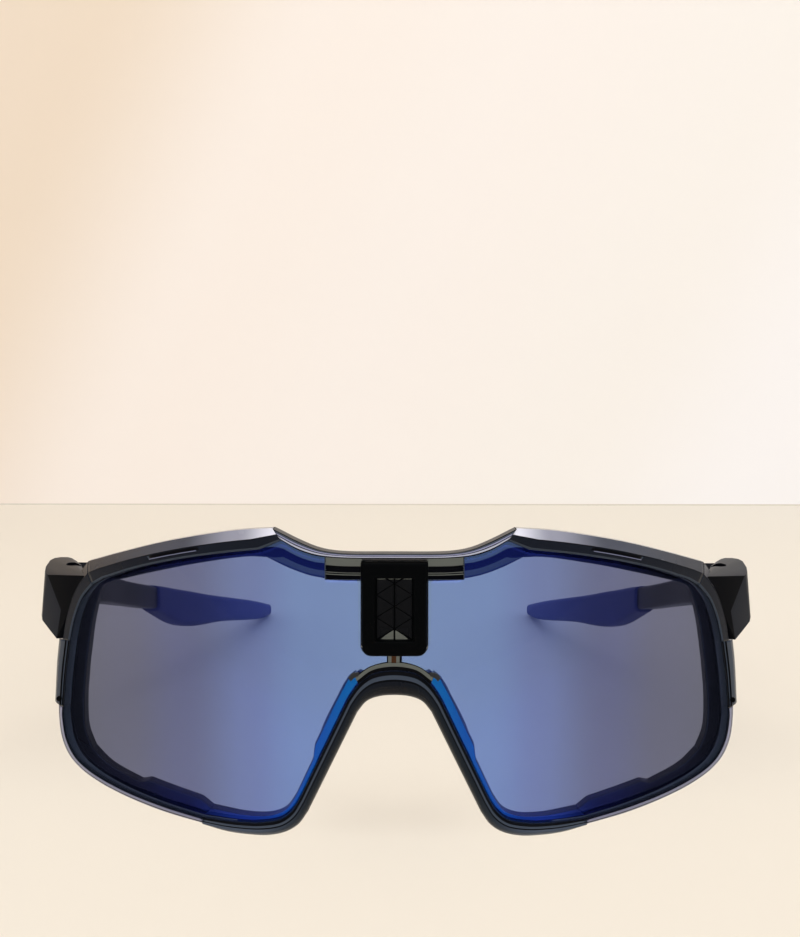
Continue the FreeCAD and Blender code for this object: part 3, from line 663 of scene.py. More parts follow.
# The wing's slot is painted, not cut: strips that stand a little proud of the face, in painted shadow for the
# slot and painted highlight for its lip and its end.
SLOT_PAINT_PROUD, SLOT_PAINT_DEPTH = 0.04, 0.5
WING_SLOT = [      # name, upper and lower share of the wing's width, nearest and farthest x, finish
    ("slot", 0.5, 0.66, 37.5, 47.6, SHADOW), ("slot_lip", 0.675, 0.71, 37.7, 47.4, REFLECTION),
    ("slot_end", 0.52, 0.66, 47.5, 47.8, DIM_HIGHLIGHT),
]
DIP = profile(
    RIM_FRONT, BROW_BACK, 0.08,
    [
        (0.0, 1.0, SHADOW), (0.14, 0.7, DIM_HIGHLIGHT), (0.34, 0.4, REFLECTION), (0.5, 0.1, SHADOW), (0.62, 0.1, HIGHLIGHT),
        (0.84, 0.1, SHADOW), (1.0, 0.3, SHADOW),
    ], rest=SHADOW,
)
NOSE = profile(
    RIM_FRONT, RIM_BACK, 0.5,
    [
        (0.0, 1.9, SHADOW), (0.1, 0.9, ROUND), (0.36, 0.0, ROUND), (0.62, 0.15, SHADOW), (0.69, 0.3, DIM_HIGHLIGHT),
        (0.88, 0.6, SHADOW), (1.0, 1.1, BASE),
    ], 4,
)
LOW_RIM = profile(
    RIM_FRONT, RIM_BACK, 0.1,
    [
        (0.0, 1.5, SHADOW), (0.13, 1.0, HIGHLIGHT), (0.28, 0.9, SHADOW), (0.5, 0.45, REFLECTION), (0.93, 0.1, SHADOW),
        (1.0, 0.3, BASE),
    ],
)
STRUT = profile(
    RIM_FRONT, RIM_BACK, 0.15,
    [
        (0.0, 1.0, SHADOW), (0.08, 0.5, DIM_HIGHLIGHT), (0.3, 0.1, DIM_HIGHLIGHT), (0.68, 0.0, SHADOW), (0.76, 0.5, DIM_HIGHLIGHT),
        (0.88, 0.5, SHADOW), (1.0, 0.6, BASE),
    ],
)
WING_SEAT = profile(
    FLANGE_FRONT, FLANGE_BACK, 0.1, [(0.0, 0.2, SHADOW), (0.9, 0.1, DIM_HIGHLIGHT), (1.0, 0.2, SHADOW)],
)
DIP_SEAT = profile(
    FLANGE_FRONT, FLANGE_BACK, 0.08,
    [
        (0.0, 0.0, LIT_LEDGE), ((0.02, 0.36), 0.0, SHADOW), ((0.03, 0.4), 0.9, SHADOW),
        ((0.9, 0.62), 0.9, SHADOW), ((0.92, 0.68), 0.2, WEB_LIGHT), (0.93, 0.2, DIM_HIGHLIGHT), (1.0, 0.3, SHADOW),
    ], 2, 0.3,
)
HEAD_SEAT = profile(
    FLANGE_FRONT, FLANGE_BACK, 0.08,
    [
        (0.0, 0.0, WEB_LIGHT), (0.4, 0.0, SHADOW), (0.43, 0.9, SHADOW), (0.62, 0.9, SHADOW), (0.66, 0.2, WEB_LIGHT),
        (0.7, 0.2, SHADOW), (0.75, 0.2, WEB_LIGHT), (0.79, 0.2, SHADOW), (1.0, 0.3, SHADOW),
    ],
)
SEAT = profile(
    FLANGE_FRONT, FLANGE_BACK, 0.15,
    [
        (0.0, 0.1, SHADOW), (0.1, 0.4, BASE), (0.3, 0.4, SHADOW), (0.36, 0.1, BLUE), (0.93, 0.1, DIM_HIGHLIGHT),
        (1.0, 0.3, SHADOW),
    ],
)
NOSE_SEAT = profile(
    FLANGE_FRONT, FLANGE_BACK, 0.1,
    [(0.0, 0.1, SHADOW), (0.14, 0.1, BLUE), (0.94, 0.1, DIM_HIGHLIGHT), (1.0, 0.3, SHADOW)],
)


def rows_between(outer, inner, low, high, x_in, x_out):
    """The part of a band's face between two shares of its width and two distances from the middle."""
    upper = outer + (inner - outer) * low
    lower = outer + (inner - outer) * high
    away = np.abs(upper[:, 0])
    order = np.argsort(away)
    places = np.linspace(x_in, x_out, 12)

    def line(points):
        return np.stack([np.interp(places, away[order], points[order, k]) for k in (0, 1)], axis=1)

    return line(upper), line(lower)


def stepped_brow():
    """The brow: two wings, each with its long slot under the sloping top, painted as thin strips of shadow
    and highlight, and the thin dip between them.
    """
    parts = []
    for side, hand in SIDES:
        outer = edge(side, (WING_TOP, 90))
        inner = edge(side, (CORNER_IN[3:], 6), (WING_LOW, 73), (PEAK_LOW, 13))
        parts.append(band("wing_" + hand, outer, inner, WING))
        for name, low, high, x_in, x_out, finish in WING_SLOT:
            upper, lower = rows_between(outer, inner, low, high, x_in, x_out)
            stretches = [(0.0, 0.0, finish), (1.0, 0.0, finish)]
            painted_slot = profile(RIM_FRONT + SLOT_PAINT_PROUD, RIM_FRONT - SLOT_PAINT_DEPTH, 0.02, stretches)
            parts.append(band(name, upper, lower, painted_slot))
    outer = join_runs(edge(-1, (DIP_TOP, 40)), edge(1, (DIP_TOP[::-1], 40)))
    inner = join_runs(edge(-1, (DIP_LOW, 40)), edge(1, (DIP_LOW[::-1], 40)))
    parts.append(band("dip", outer, inner, DIP))
    return join_pieces("stepped_brow", parts)


def nose_rim():
    """The nose rim: one full tube from lobe to lobe, with a blunt end on each lobe."""
    lines = []
    for arch, leg, lobe in ((ARCH_UNDER, LEG_OUT, LOBE_OUT), (ARCH_OVER, LEG_IN, LOBE_IN)):
        halves = [edge(side, (leg, 30), (lobe, 40)) for side, hand in SIDES]
        lines.append(join_runs(halves[0][::-1], spline(both_sides(arch), 41), halves[1]))
    return band("nose_rim_tube", *lines, NOSE)


keep_crystal(stepped_brow(), "brow_bar")
keep_crystal(nose_rim(), "nose_rim")

RIMS = [      # name, node, outer line, inner line, count, section
    ("thin_lower_rim_", "lower_rim_", RIM_OUT, RIM_IN, 90, LOW_RIM),
    ("stepped_strut_", "side_strut_", STRUT_OUT, STRUT_IN, 30, STRUT),
]
FLANGES = {      # the bands of each flange: runs of its outer line, runs of its inner line, section
    "nose_flange_": [
        ([(ARCH_OVER[2:], 24), (LEG_IN, 40), (LOBE_IN, 30)],
         [(WINDOW_FOOT, 8), (WINDOW_NOSE, 40), (WINDOW_STEP, 22, straight), (WINDOW_LOBE, 25)], NOSE_SEAT),
    ],
    "lower_flange_": [([(RIM_IN[:6], 100)], [(WINDOW_TAB, 50, straight), (WINDOW_LOW, 51)], SEAT)],
    "side_flange_": [([(SIDE_SEAT_OUT, 40), (CORNER_IN, 41)], [(WINDOW_OUTER, 40), (WINDOW_SIDE, 41)], SEAT)],
    "brow_flange_": [
        ([(WING_LOW, 50)], [(WINDOW_BROW, 50)], WING_SEAT),
        ([(PEAK_LOW, 14), (DIP_SEAT_OUT, 31)], [(WINDOW_DIP, 44)], DIP_SEAT),
        ([(HEAD_SEAT_OUT, 24)], [(WINDOW_HEAD, 24)], HEAD_SEAT),
    ],
}

for side, hand in SIDES:
    for name, node, outer, inner, count, section in RIMS:
        rim = band(name + hand, edge(side, (outer, count)), edge(side, (inner, count)), section)
        keep_crystal(rim, node + hand)

for side, hand in SIDES:
    for name, bands in FLANGES.items():
        seats = [band("seat", edge(side, *outer), edge(side, *inner), cut) for outer, inner, cut in bands]
        keep_crystal(join_pieces(name + "band_" + hand, seats), name + hand, "flange_crystal")

# --- the lens ---

NOTCH_X, NOTCH_LOW, NOTCH_CORNER = 6.3, 5.45, 1.9
HEAD_NOTCH_X, HEAD_NOTCH_LOW = 13.0, 19.45
LENS_TIP_X = 67.6


def edge_height(runs):
    """A function that gives z on an outline at a distance from the middle."""
    line = join_runs(*[spline(run, 60) for run in runs])
    order = np.argsort(line[:, 0])

    def height(x):
        return float(np.interp(abs(x), line[order, 0], line[order, 1]))

    return height


def shield_lens():
    """A grid bent round the lens's axis, in two storeys: all across, and above that beside the notch."""
    low = edge_height([ARCH_OVER, LEG_IN, LOBE_IN, RIM_IN[:7]])
    full_high = edge_height([DIP_LOW[::-1], PEAK_LOW[::-1], WING_LOW[::-1], CORNER_IN[::-1], STRUT_IN[::-1]])
    flat_x = NOTCH_X - NOTCH_CORNER
    stations = [0.0, 2.4, flat_x]
    stations += [flat_x + NOTCH_CORNER * math.sin(a) for a in np.linspace(0.25, math.pi / 2, 6)]
    stations += list(np.linspace(NOTCH_X, HEAD_NOTCH_X - 0.01, 8)[1:]) + [HEAD_NOTCH_X + 0.01]
    stations += list(HEAD_NOTCH_X + (LENS_TIP_X - HEAD_NOTCH_X) * np.sin(np.linspace(0.02, math.pi / 2, 104)))
    xs = [-x for x in reversed(stations[1:])] + stations
    rows_low, rows_high = 12, 16

    def high(x):
        return HEAD_NOTCH_LOW if abs(x) < HEAD_NOTCH_X else full_high(x)

    def split(x):
        away = abs(x)
        if away <= flat_x:
            return NOTCH_LOW
        if away <= NOTCH_X:
            inside = away - flat_x
            return NOTCH_LOW + NOTCH_CORNER - math.sqrt(max(NOTCH_CORNER ** 2 - inside ** 2, 0.0))
        blend = (1.0 - (away - NOTCH_X) / (LENS_TIP_X - NOTCH_X)) ** 3
        middle = low(x) + (full_high(x) - low(x)) * 0.6
        return (NOTCH_LOW + NOTCH_CORNER) * blend + middle * (1.0 - blend)

    vertices = []
    lookup = {}

    def vertex(column, row, z):
        key = (column, row)
        if key not in lookup:
            x = xs[column]
            lookup[key] = len(vertices)
            vertices.append((x, bent(x, LENS_RADIUS), z))
        return lookup[key]

    faces = []
    for column in range(len(xs) - 1):
        storeys = [(low, split, 0, rows_low)]
        if min(abs(xs[column]), abs(xs[column + 1])) > NOTCH_X - 1e-6:
            storeys.append((split, high, rows_low, rows_high))
        for bottom, top, first, rows in storeys:
            for row in range(rows):
                quad = []
                for c, r in ((0, row), (1, row), (1, row + 1), (0, row + 1)):
                    x = xs[column + c]
                    quad.append(vertex(column + c, first + r, bottom(x) + (top(x) - bottom(x)) * r / rows))
                faces.append(tuple(quad))
    lens = new_piece("shield_lens", vertices, faces)
    solid = lens.modifiers.new("thickness", "SOLIDIFY")
    solid.thickness = (LENS_RADIUS - LENS_BACK) * MM
    solid.offset = -1.0
    solid.use_even_offset = True
    # The lens's cut edges take the second material, a dim painted highlight.
    solid.material_offset_rim = 1
    lens.data.materials.append(LENS_MATERIAL)
    lens.data.materials.append(PAINTED_DIM_HIGHLIGHT)
    return settle(lens)


keep(shield_lens(), "front", "lens", "lens_mirror", LENS_MATERIAL, PAINTED_DIM_HIGHLIGHT)

# --- bridge block, post, neck and vent ---

BLOCK_FRONT, BLOCK_BACK = 99.2, 96.0
BLOCK_X, HEAD_X, BLOCK_LOW, BLOCK_HIGH = 6.0, 6.25, 5.5, 23.0
VENT_X, VENT_LOW, VENT_HIGH = 3.5, 8.3, 19.9
WEB_FRONT, WEB_BACK = 98.0, 97.55      # a thin web that lies on the lens's outer face


def clip_block():
    """The block that clips the lens: a flat face with rounded lower corners, a wider head, and a window."""
    right = [(BLOCK_X, BLOCK_LOW), (BLOCK_X, 19.0), (HEAD_X, 19.8), (HEAD_X, BLOCK_HIGH)]
    window = [(VENT_X, VENT_LOW), (VENT_X, 15.0), (VENT_X, 17.0), (VENT_X, VENT_HIGH)]
    rounds = [1.9, 0.7, 0.6, 0.4]
    outer = rounded_section(right + on_side(right[::-1], -1), rounds + rounds[::-1], 8)
    inner = rounded_section(window + on_side(window[::-1], -1), 0.25, 8)
    face = profile(BLOCK_FRONT, BLOCK_BACK, 0.3, [(0.0, 0.35, 0), (0.12, 0.0, 0), (1.0, 0.0, 0)], 4)
    return band("lens_clip_block", outer, inner, face, closed=True)


def plate(name, x_low, x_high, low, high, front=FLANGE_FRONT, back=FLANGE_BACK):
    """A bent plate between two heights, each a number or a function of x."""
    xs = np.linspace(x_low, x_high, 40)
    upper = [(x, high(x) if callable(high) else high) for x in xs]
    lower = [(x, low(x) if callable(low) else low) for x in xs]
    return band(name, upper, lower, profile(front, back, 0.12, [(0.0, 0.0, 0), (1.0, 0.0, 0)]))


def duct_post():
    """The post behind the lens: a tall plate with an arched outlet at its foot and a slit at its head, both
    backed by plates of painted light.
    """
    foot, arch_foot, arch_top, arch_x, above_arch = 7.5, 8.0, 9.9, 2.7, 10.4
    slit_low, slit_high, slit_x, lap = 19.4, 19.65, 3.2, 0.05
    corner_x, corner_z, corner_radius = 4.25, 7.4, 2.0

    def arch(x):
        return arch_foot + (arch_top - arch_foot) * (1.0 - min(abs(x) / arch_x, 1.0) ** 1.6)

    def corner(x):
        return corner_z - math.sqrt(corner_radius ** 2 - max(abs(x) - corner_x, 0.0) ** 2)

    walls = [      # from x, to x, from z, to z
        (-HEAD_X + 0.01, HEAD_X - 0.01, corner, foot), (-arch_x, arch_x, arch, above_arch),
        (-HEAD_X, -arch_x, foot - lap, above_arch), (arch_x, HEAD_X, foot - lap, above_arch),
        (-HEAD_X, HEAD_X, above_arch - lap, slit_low), (-HEAD_X, HEAD_X, slit_high, BLOCK_HIGH),
        (-HEAD_X, -slit_x, slit_low - lap, slit_high + lap),
        (slit_x, HEAD_X, slit_low - lap, slit_high + lap),
    ]
    # Plates in the lighter grey tone back the outlet and the slit: painted light, where light would show
    # through them.
    painted_light_plates = [
        plate("painted_light_plate", -arch_x, arch_x, foot - 0.2, arch, FLANGE_BACK + 0.5, FLANGE_BACK),
        plate("painted_light_plate", -slit_x, slit_x, slit_low, slit_high, FLANGE_FRONT - 0.25, FLANGE_BACK),
    ]
    for painted_light_plate in painted_light_plates:
        for face in painted_light_plate.data.polygons:
            face.material_index = 1
    return join_pieces("vent_duct_post", [plate("post", *wall) for wall in walls] + painted_light_plates)


def neck():
    """The web that joins the block to the nose rim, and the thin lip along the arch that it flares into."""
    half, height = 1.4, np.linspace(5.6, 4.15, 8)
    stem = band(
        "stem", [(-half, z) for z in height], [(half, z) for z in height],
        profile(WEB_FRONT, FLANGE_BACK, 0.1, [
            (0.0, 0.1, SHADOW), (0.12, 0.0, WEB_LIGHT), (0.34, 0.0, STUB), (0.66, 0.0, WEB_LIGHT), (0.88, 0.0, SHADOW),
            (1.0, 0.1, SHADOW),
        ]),
    )
    lip_out = [(half, 4.3), (4.6, 3.4), (7.3, 1.5)]
    lip_in = [(half, 2.7), (4.1, 2.1), (6.7, 0.1)]
    lip = band(
        "lip", *[spline(on_side(line[::-1], -1) + line, 50) for line in (lip_out, lip_in)],
        profile(WEB_FRONT, WEB_BACK, 0.1, [
            (0.0, 0.1, SHADOW), (0.16, 0.0, WEB_LIGHT), (0.62, 0.0, SHADOW), (1.0, 0.1, SHADOW),
        ]),
    )
    return join_pieces("bridge_neck_web", [stem, lip])


keep(clip_block(), "front", "bridge_block", "bridge_black", BLOCK_NYLON)
keep(duct_post(), "front", "bridge_post", "bridge_black", VENT_NYLON, WEB_TONE_AND_PAINTED_LIGHT)
keep_crystal(neck(), "bridge_neck", "flange_crystal")


def truss_tree():
    """A Geometry Nodes tree for a truss: three upright rails, and two ribs that zigzag between them."""
    tree = bpy.data.node_groups.new("vent_truss", "GeometryNodeTree")
    for label in ("Half width", "Height", "Bay height", "Rib width"):
        tree.interface.new_socket(label, in_out="INPUT", socket_type="NodeSocketFloat")
    tree.interface.new_socket("Material", in_out="INPUT", socket_type="NodeSocketMaterial")
    tree.interface.new_socket("Geometry", in_out="OUTPUT", socket_type="NodeSocketGeometry")
    given = add_node(tree, "NodeGroupInput").outputs
    index = add_node(tree, "GeometryNodeInputIndex").outputs[0]

    maths = "ShaderNodeMath"
    bays = add_node(tree, maths, {"operation": "DIVIDE"}, {0: given["Height"], 1: given["Bay height"]})
    whole = add_node(tree, maths, {"operation": "CEIL"}, {0: bays.outputs[0]})
    count = add_node(tree, maths, {"operation": "ADD", 1: 1.0}, {0: whole.outputs[0]})
    climb = add_node(tree, maths, {"operation": "MULTIPLY"}, {0: index, 1: given["Bay height"]})
    height = add_node(tree, maths, {"operation": "MINIMUM"}, {0: climb.outputs[0], 1: given["Height"]})
    bay = add_node(tree, maths, {"operation": "DIVIDE"}, {0: height.outputs[0], 1: given["Bay height"]})
    inwards = add_node(tree, maths, {"operation": "PINGPONG", 1: 1.0}, {0: bay.outputs[0]})
    outwards = add_node(tree, maths, {"operation": "SUBTRACT", 0: 1.0}, {1: inwards.outputs[0]})
    away = add_node(tree, maths, {"operation": "MULTIPLY"}, {0: outwards.outputs[0], 1: given["Half width"]})
    top = add_node(tree, maths, {"operation": "MULTIPLY"}, {0: index, 1: given["Height"]})
    half_rib = add_node(tree, maths, {"operation": "MULTIPLY", 1: 0.5}, {0: given["Rib width"]})

    joined = add_node(tree, "GeometryNodeJoinGeometry")
    rail = ({}, given["Half width"], top)
    rib = ({"Count": count.outputs[0]}, away.outputs[0], height)
    for side, (points, reach, rise) in ((1.0, rail), (0.0, rail), (-1.0, rail), (1.0, rib), (-1.0, rib)):
        line = add_node(tree, "GeometryNodeMeshLine", {"Count": 2}, points)
        across = add_node(tree, maths, {"operation": "MULTIPLY", 1: side}, {0: reach})
        spot = add_node(tree, "ShaderNodeCombineXYZ", {}, {"X": across.outputs[0], "Z": rise.outputs[0]})
        moved = add_node(
            tree, "GeometryNodeSetPosition", {}, {"Geometry": line.outputs[0], "Position": spot.outputs[0]}
        )
        tree.links.new(moved.outputs[0], joined.inputs[0])
    curves = add_node(tree, "GeometryNodeMeshToCurve", {}, {"Mesh": joined.outputs[0]})
    bar = add_node(
        tree, "GeometryNodeCurvePrimitiveCircle", {"Resolution": 8}, {"Radius": half_rib.outputs[0]}
    )
    ribs = add_node(
        tree, "GeometryNodeCurveToMesh", {"Fill Caps": True},
        {"Curve": curves.outputs[0], "Profile Curve": bar.outputs[0]},
    )
    real = add_node(tree, "GeometryNodeRealizeInstances", {}, {"Geometry": ribs.outputs[0]})
    coloured = add_node(
        tree, "GeometryNodeSetMaterial", {}, {"Geometry": real.outputs[0], "Material": given["Material"]}
    )
    add_node(tree, "NodeGroupOutput", {}, {"Geometry": coloured.outputs[0]})
    return tree


def vent_truss():
    """The truss in the block's window, made upright at the origin and then stood in its place."""
    rib_width, bay_height, margin, sunk, deeper = 0.36, 2.1, 0.15, 0.3, 2.0
    holder = put("truss_lattice", bpy.data.meshes.new("truss_lattice"))
    modifier = holder.modifiers.new("truss", "NODES")
    modifier.node_group = truss_tree()
    sizes = {
        "Half width": (VENT_X - margin) * MM, "Height": (VENT_HIGH - VENT_LOW) * MM,
        "Bay height": bay_height * MM, "Rib width": rib_width * MM, "Material": BLOCK_NYLON,
    }
    for item in modifier.node_group.interface.items_tree:
        if item.in_out == "INPUT":
            modifier[item.identifier] = sizes[item.name]
    settle(holder)
    for point in holder.data.vertices:
        x, y, z = (c / MM for c in point.co)
        point.co = stand((x, bent(x, LENS_RADIUS) + y * deeper + sunk, z + VENT_LOW))
    return holder


keep(vent_truss(), "front", "vent_insert", "vent_black", BLOCK_NYLON)

# --- nose pads ---

PAD_OUT = [(7.2, 1.9), (9.2, 0.4), (10.9, -3.0), (14.7, -11.2), (15.0, -14.0)]
PAD_IN = [(5.2, 0.9), (5.3, -0.9), (6.9, -4.0), (9.8, -9.6), (12.7, -15.2)]
HOOK_OUT = [(6.5, 2.3), (7.7, 2.2), (8.6, 1.3)]
HOOK_IN = [(6.7, 1.5), (7.4, 1.3), (8.1, 0.6)]
HOOK = profile(98.1, WEB_BACK, 0.3, [(0.0, 0.1, 0), (1.0, 0.1, 0)], 4)


def pad_section(width, share):
    """A soft pad: thick where it is held and thin at its free edge."""
    swell = math.sin(math.pi * min(max(share, 0.02), 0.98)) ** 0.35
    middle = width * 0.5
    half = middle * (0.55 + 0.43 * swell)
    back = FLANGE_BACK - (FLANGE_BACK - PAD_BACK) * (0.35 + 0.63 * swell)
    corners = [
        (middle - half, FLANGE_BACK), (middle + half, FLANGE_BACK), (middle + half * 0.9, back),
        (middle - half * 0.5, back),
    ]
    return rounded_section(corners, [0.3, 0.3, 1.1, 1.0], 6)


for side, hand in SIDES:
    pad = band("pad", edge(side, (PAD_OUT, 50)), edge(side, (PAD_IN, 50)), pad_section)
    hook = band("hook", edge(side, (HOOK_OUT, 14)), edge(side, (HOOK_IN, 14)), HOOK)
    soft_pad = join_pieces("soft_nose_pad_" + hand, [pad, hook])
    keep(soft_pad, "front", "nose_pad_" + hand, "pad_rubber", PAD_RUBBER)

# --- lugs, screws and pegs ---

LUG_TOP = [      # the outline of the lug's sloping top, x and y
    (70.9, 27.6), (71.9, 29.6), (72.4, 32.6), (72.4, 36.4), (71.8, 37.8), (70.6, 38.4), (69.2, 38.4),
    (68.2, 37.8), (66.8, 36.0), (65.2, 33.3), (63.9, 29.6), (65.0, 28.2), (66.4, 27.2), (68.4, 26.8),
]
LUG_SIDES = [      # the corners below it, from the brow's end round to the back and the inner side
    (62.2, 21.6, 18.0), (67.6, 24.9, 10.7), (68.8, 26.2, 4.7), (70.8, 28.3, 6.3), (72.4, 29.3, 8.0),
    (72.8, 30.3, 8.8), (72.6, 36.0, 9.6), (71.0, 38.3, 9.0), (66.4, 38.3, 8.3), (64.2, 34.0, 7.2),
    (63.4, 28.4, 4.9), (66.0, 27.8, 4.7),
]
HINGE_SLOT = [(40.0, 28.3, 9.5), (70.0, 60.0, 16.3)]
FRONT_CLEARANCE = [(40.0, 0.0, 0.0), (62.3, 27.9, 17.0)]
SCREW_RECESS, RECESS_LOW, RECESS_HIGH = 1.6, 17.4, 24.0


def top_height(y):
    """How high the lug's sloping top is at a distance behind the lens."""
    return 10.84 + 0.243 * y


def hinge_lug(side, hand):
    """The lug: a rim corner that leads the front from brow to strut, and a faceted block behind it."""
    corner = band("lug_corner", edge(side, (CORNER_OUT, 40)), edge(side, (CORNER_IN[:4], 40)), CORNER)
    body = hull("lug_block", on_side([(x, y, top_height(y)) for x, y in LUG_TOP] + LUG_SIDES, side))
    turn = np.linspace(0.0, 2.0 * math.pi, 33)[:-1]
    recess = hull("recess", [
        (side * HINGE.x + SCREW_RECESS * math.cos(a), HINGE.y + SCREW_RECESS * math.sin(a), z)
        for a in turn for z in (RECESS_LOW, RECESS_HIGH)
    ])
    slot = block_of("slot", *sorted(on_side(HINGE_SLOT, side)))
    front_cut = block_of("front_cut", *sorted(on_side(FRONT_CLEARANCE, side)))
    carve(body, [slot, recess, front_cut])
    # Faces turned towards the front are painted shade; the others take the lug's own tone.
    for face in body.data.polygons:
        in_painted_shade = face.normal.y < -0.35 and face.normal.x * side < 0.62 and face.normal.z < 0.5
        face.material_index = SHADOW if in_painted_shade else BODY
    soften(body, 0.22)
    return join_pieces("faceted_lug_" + hand, [corner, body])


def screw(side, hand):
    """A cheese-head screw, with a chamfered head and a slot cut across it."""
    foot, head_low, head_high, shank, head, axis = -3.0, 7.8, 9.0, 1.0, 1.45, 0.0001
    half_slot, slot_depth, reach = 0.3, 0.6, 2.5
    outline = rounded_section([
        (axis, foot), (shank, foot), (shank, head_low), (head, head_low), (head, head_high),
        (axis, head_high),
    ], 0.18, 3)
    body = lathe("hinge_screw_" + hand + "_turned", (side * HINGE.x, HINGE.y, HINGE.z), outline)
    settle(body)
    x, top = side * HINGE.x, HINGE.z + head_high
    low = (x - reach, HINGE.y - half_slot, top - slot_depth)
    drive = block_of("drive", low, (x + reach, HINGE.y + half_slot, top + 1.0))
    return even_normals(carve(body, [drive]))


PEG_PLACE = (68.45, 26.3, -7.6)
PEG = rounded_section([(0.0001, -0.1), (0.55, -0.1), (0.55, 3.8), (0.0001, 3.8)], 0.2, 3)

for side, hand in SIDES:
    keep_crystal(hinge_lug(side, hand), "hinge_lug_" + hand)
    keep(screw(side, hand), "front", "hinge_screw_" + hand, "hinge_steel", STEEL)
    peg = lathe("rim_peg_" + hand + "_domed", *on_side([PEG_PLACE], side), PEG, 24, "y")
    keep(peg, "front", "rim_peg_" + hand, "peg_black", BLOCK_NYLON)

# --- temples ---

# Stations from the lug to the grip: y, inner x, outer x, low z, high z.
ARM = [
    (38.95, 64.0, 72.0, 9.7, 19.0), (42.0, 63.6, 71.7, 10.0, 17.9), (47.0, 62.4, 70.3, 9.6, 16.1),
    (54.0, 60.9, 67.4, 8.4, 14.0), (62.0, 58.6, 63.6, 6.9, 12.2), (68.0, 56.9, 61.0, 5.7, 11.0),
    (73.0, 55.6, 58.9, 4.9, 10.0),
]
GRIP = [
    (72.0, 55.4, 59.8, 4.6, 10.5), (76.0, 54.1, 58.7, 3.0, 9.8), (83.0, 51.8, 56.4, 0.1, 8.4),
    (90.0, 49.7, 54.2, -1.5, 7.1), (97.0, 47.6, 52.0, -2.1, 5.7), (106.0, 45.0, 49.2, -2.6, 4.1),
    (116.0, 42.2, 46.2, -3.6, 2.4), (128.0, 39.4, 43.2, -5.0, 0.4), (140.0, 37.2, 40.6, -6.2, -1.7),
    (147.0, 36.3, 39.3, -6.3, -3.0),
]
TIP_REACH, TIP_TURN = 1.9, 0.2      # how far the domed tip stands out, and how far it turns in


def rounded_box_ring(y, x_in, x_out, z_low, z_high, side, radius):
    outline = rounded_section([(x_in, z_low), (x_out, z_low), (x_out, z_high), (x_in, z_high)], radius, 5)
    return [(side * x, y, z) for x, z in outline]


def swept(name, stations, side, radius, count, round_tip=False):
    """A tapering bar with rounded edges through some stations, with a domed end where it has a tip."""
    rows = spline(stations, count)
    rings = [rounded_box_ring(*row, side, radius) for row in rows]
    if round_tip:
        y, x_in, x_out, z_low, z_high = rows[-1]
        middle_x, middle_z = (x_in + x_out) / 2 - TIP_TURN, (z_low + z_high) / 2
        for angle in np.linspace(0.0, math.pi / 2, 9)[1:]:
            shrink = max(math.cos(angle), 0.02)
            half_x, half_z = (x_out - x_in) / 2 * shrink, (z_high - z_low) / 2 * shrink
            rings.append(rounded_box_ring(
                y + TIP_REACH * math.sin(angle), middle_x - half_x, middle_x + half_x, middle_z - half_z,
                middle_z + half_z, side, radius * shrink,
            ))
    return loft(name, rings)


NECK_PLAN = [(64.7, 33.4), (68.3, 33.4), (64.3, 40.0), (68.4, 40.0)]
NECK_LOW, NECK_HIGH = 9.7, 16.1
BARREL = rounded_section([(1.05, 0.05), (3.25, 0.05), (3.25, 6.5), (1.05, 6.5)], 0.25, 3)


def temple_arm(side, hand):
    """The arm: a barrel on the hinge, a neck through the lug's slot, and a bar that tapers to the grip."""
    barrel = lathe("barrel", (side * HINGE.x, HINGE.y, HINGE.z), BARREL)
    neck = hull("neck", on_side([(x, y, z) for x, y in NECK_PLAN for z in (NECK_LOW, NECK_HIGH)], side))
    soften(neck, 0.3)
    return join_pieces("temple_bar_" + hand, [barrel, neck, swept("bar", ARM, side, 0.9, 60)])


for side, hand in SIDES:
    keep(temple_arm(side, hand), "temple_" + hand, "temple_arm_" + hand, "arm_navy", ARM_NYLON)
    grip = swept("paddle_grip_" + hand, GRIP, side, 1.5, 90, round_tip=True)
    keep(grip, "temple_" + hand, "temple_grip_" + hand, "grip_rubber", GRIP_RUBBER)

for piece, body, node, slot in made:
    settle(piece)
    if slot in ("lens_mirror", "flange_crystal", "bridge_black", "frame_crystal"):
        piece.visible_shadow = False
        piece.visible_diffuse = False
    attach(piece, body)
    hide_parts(node)

# --- studio ---


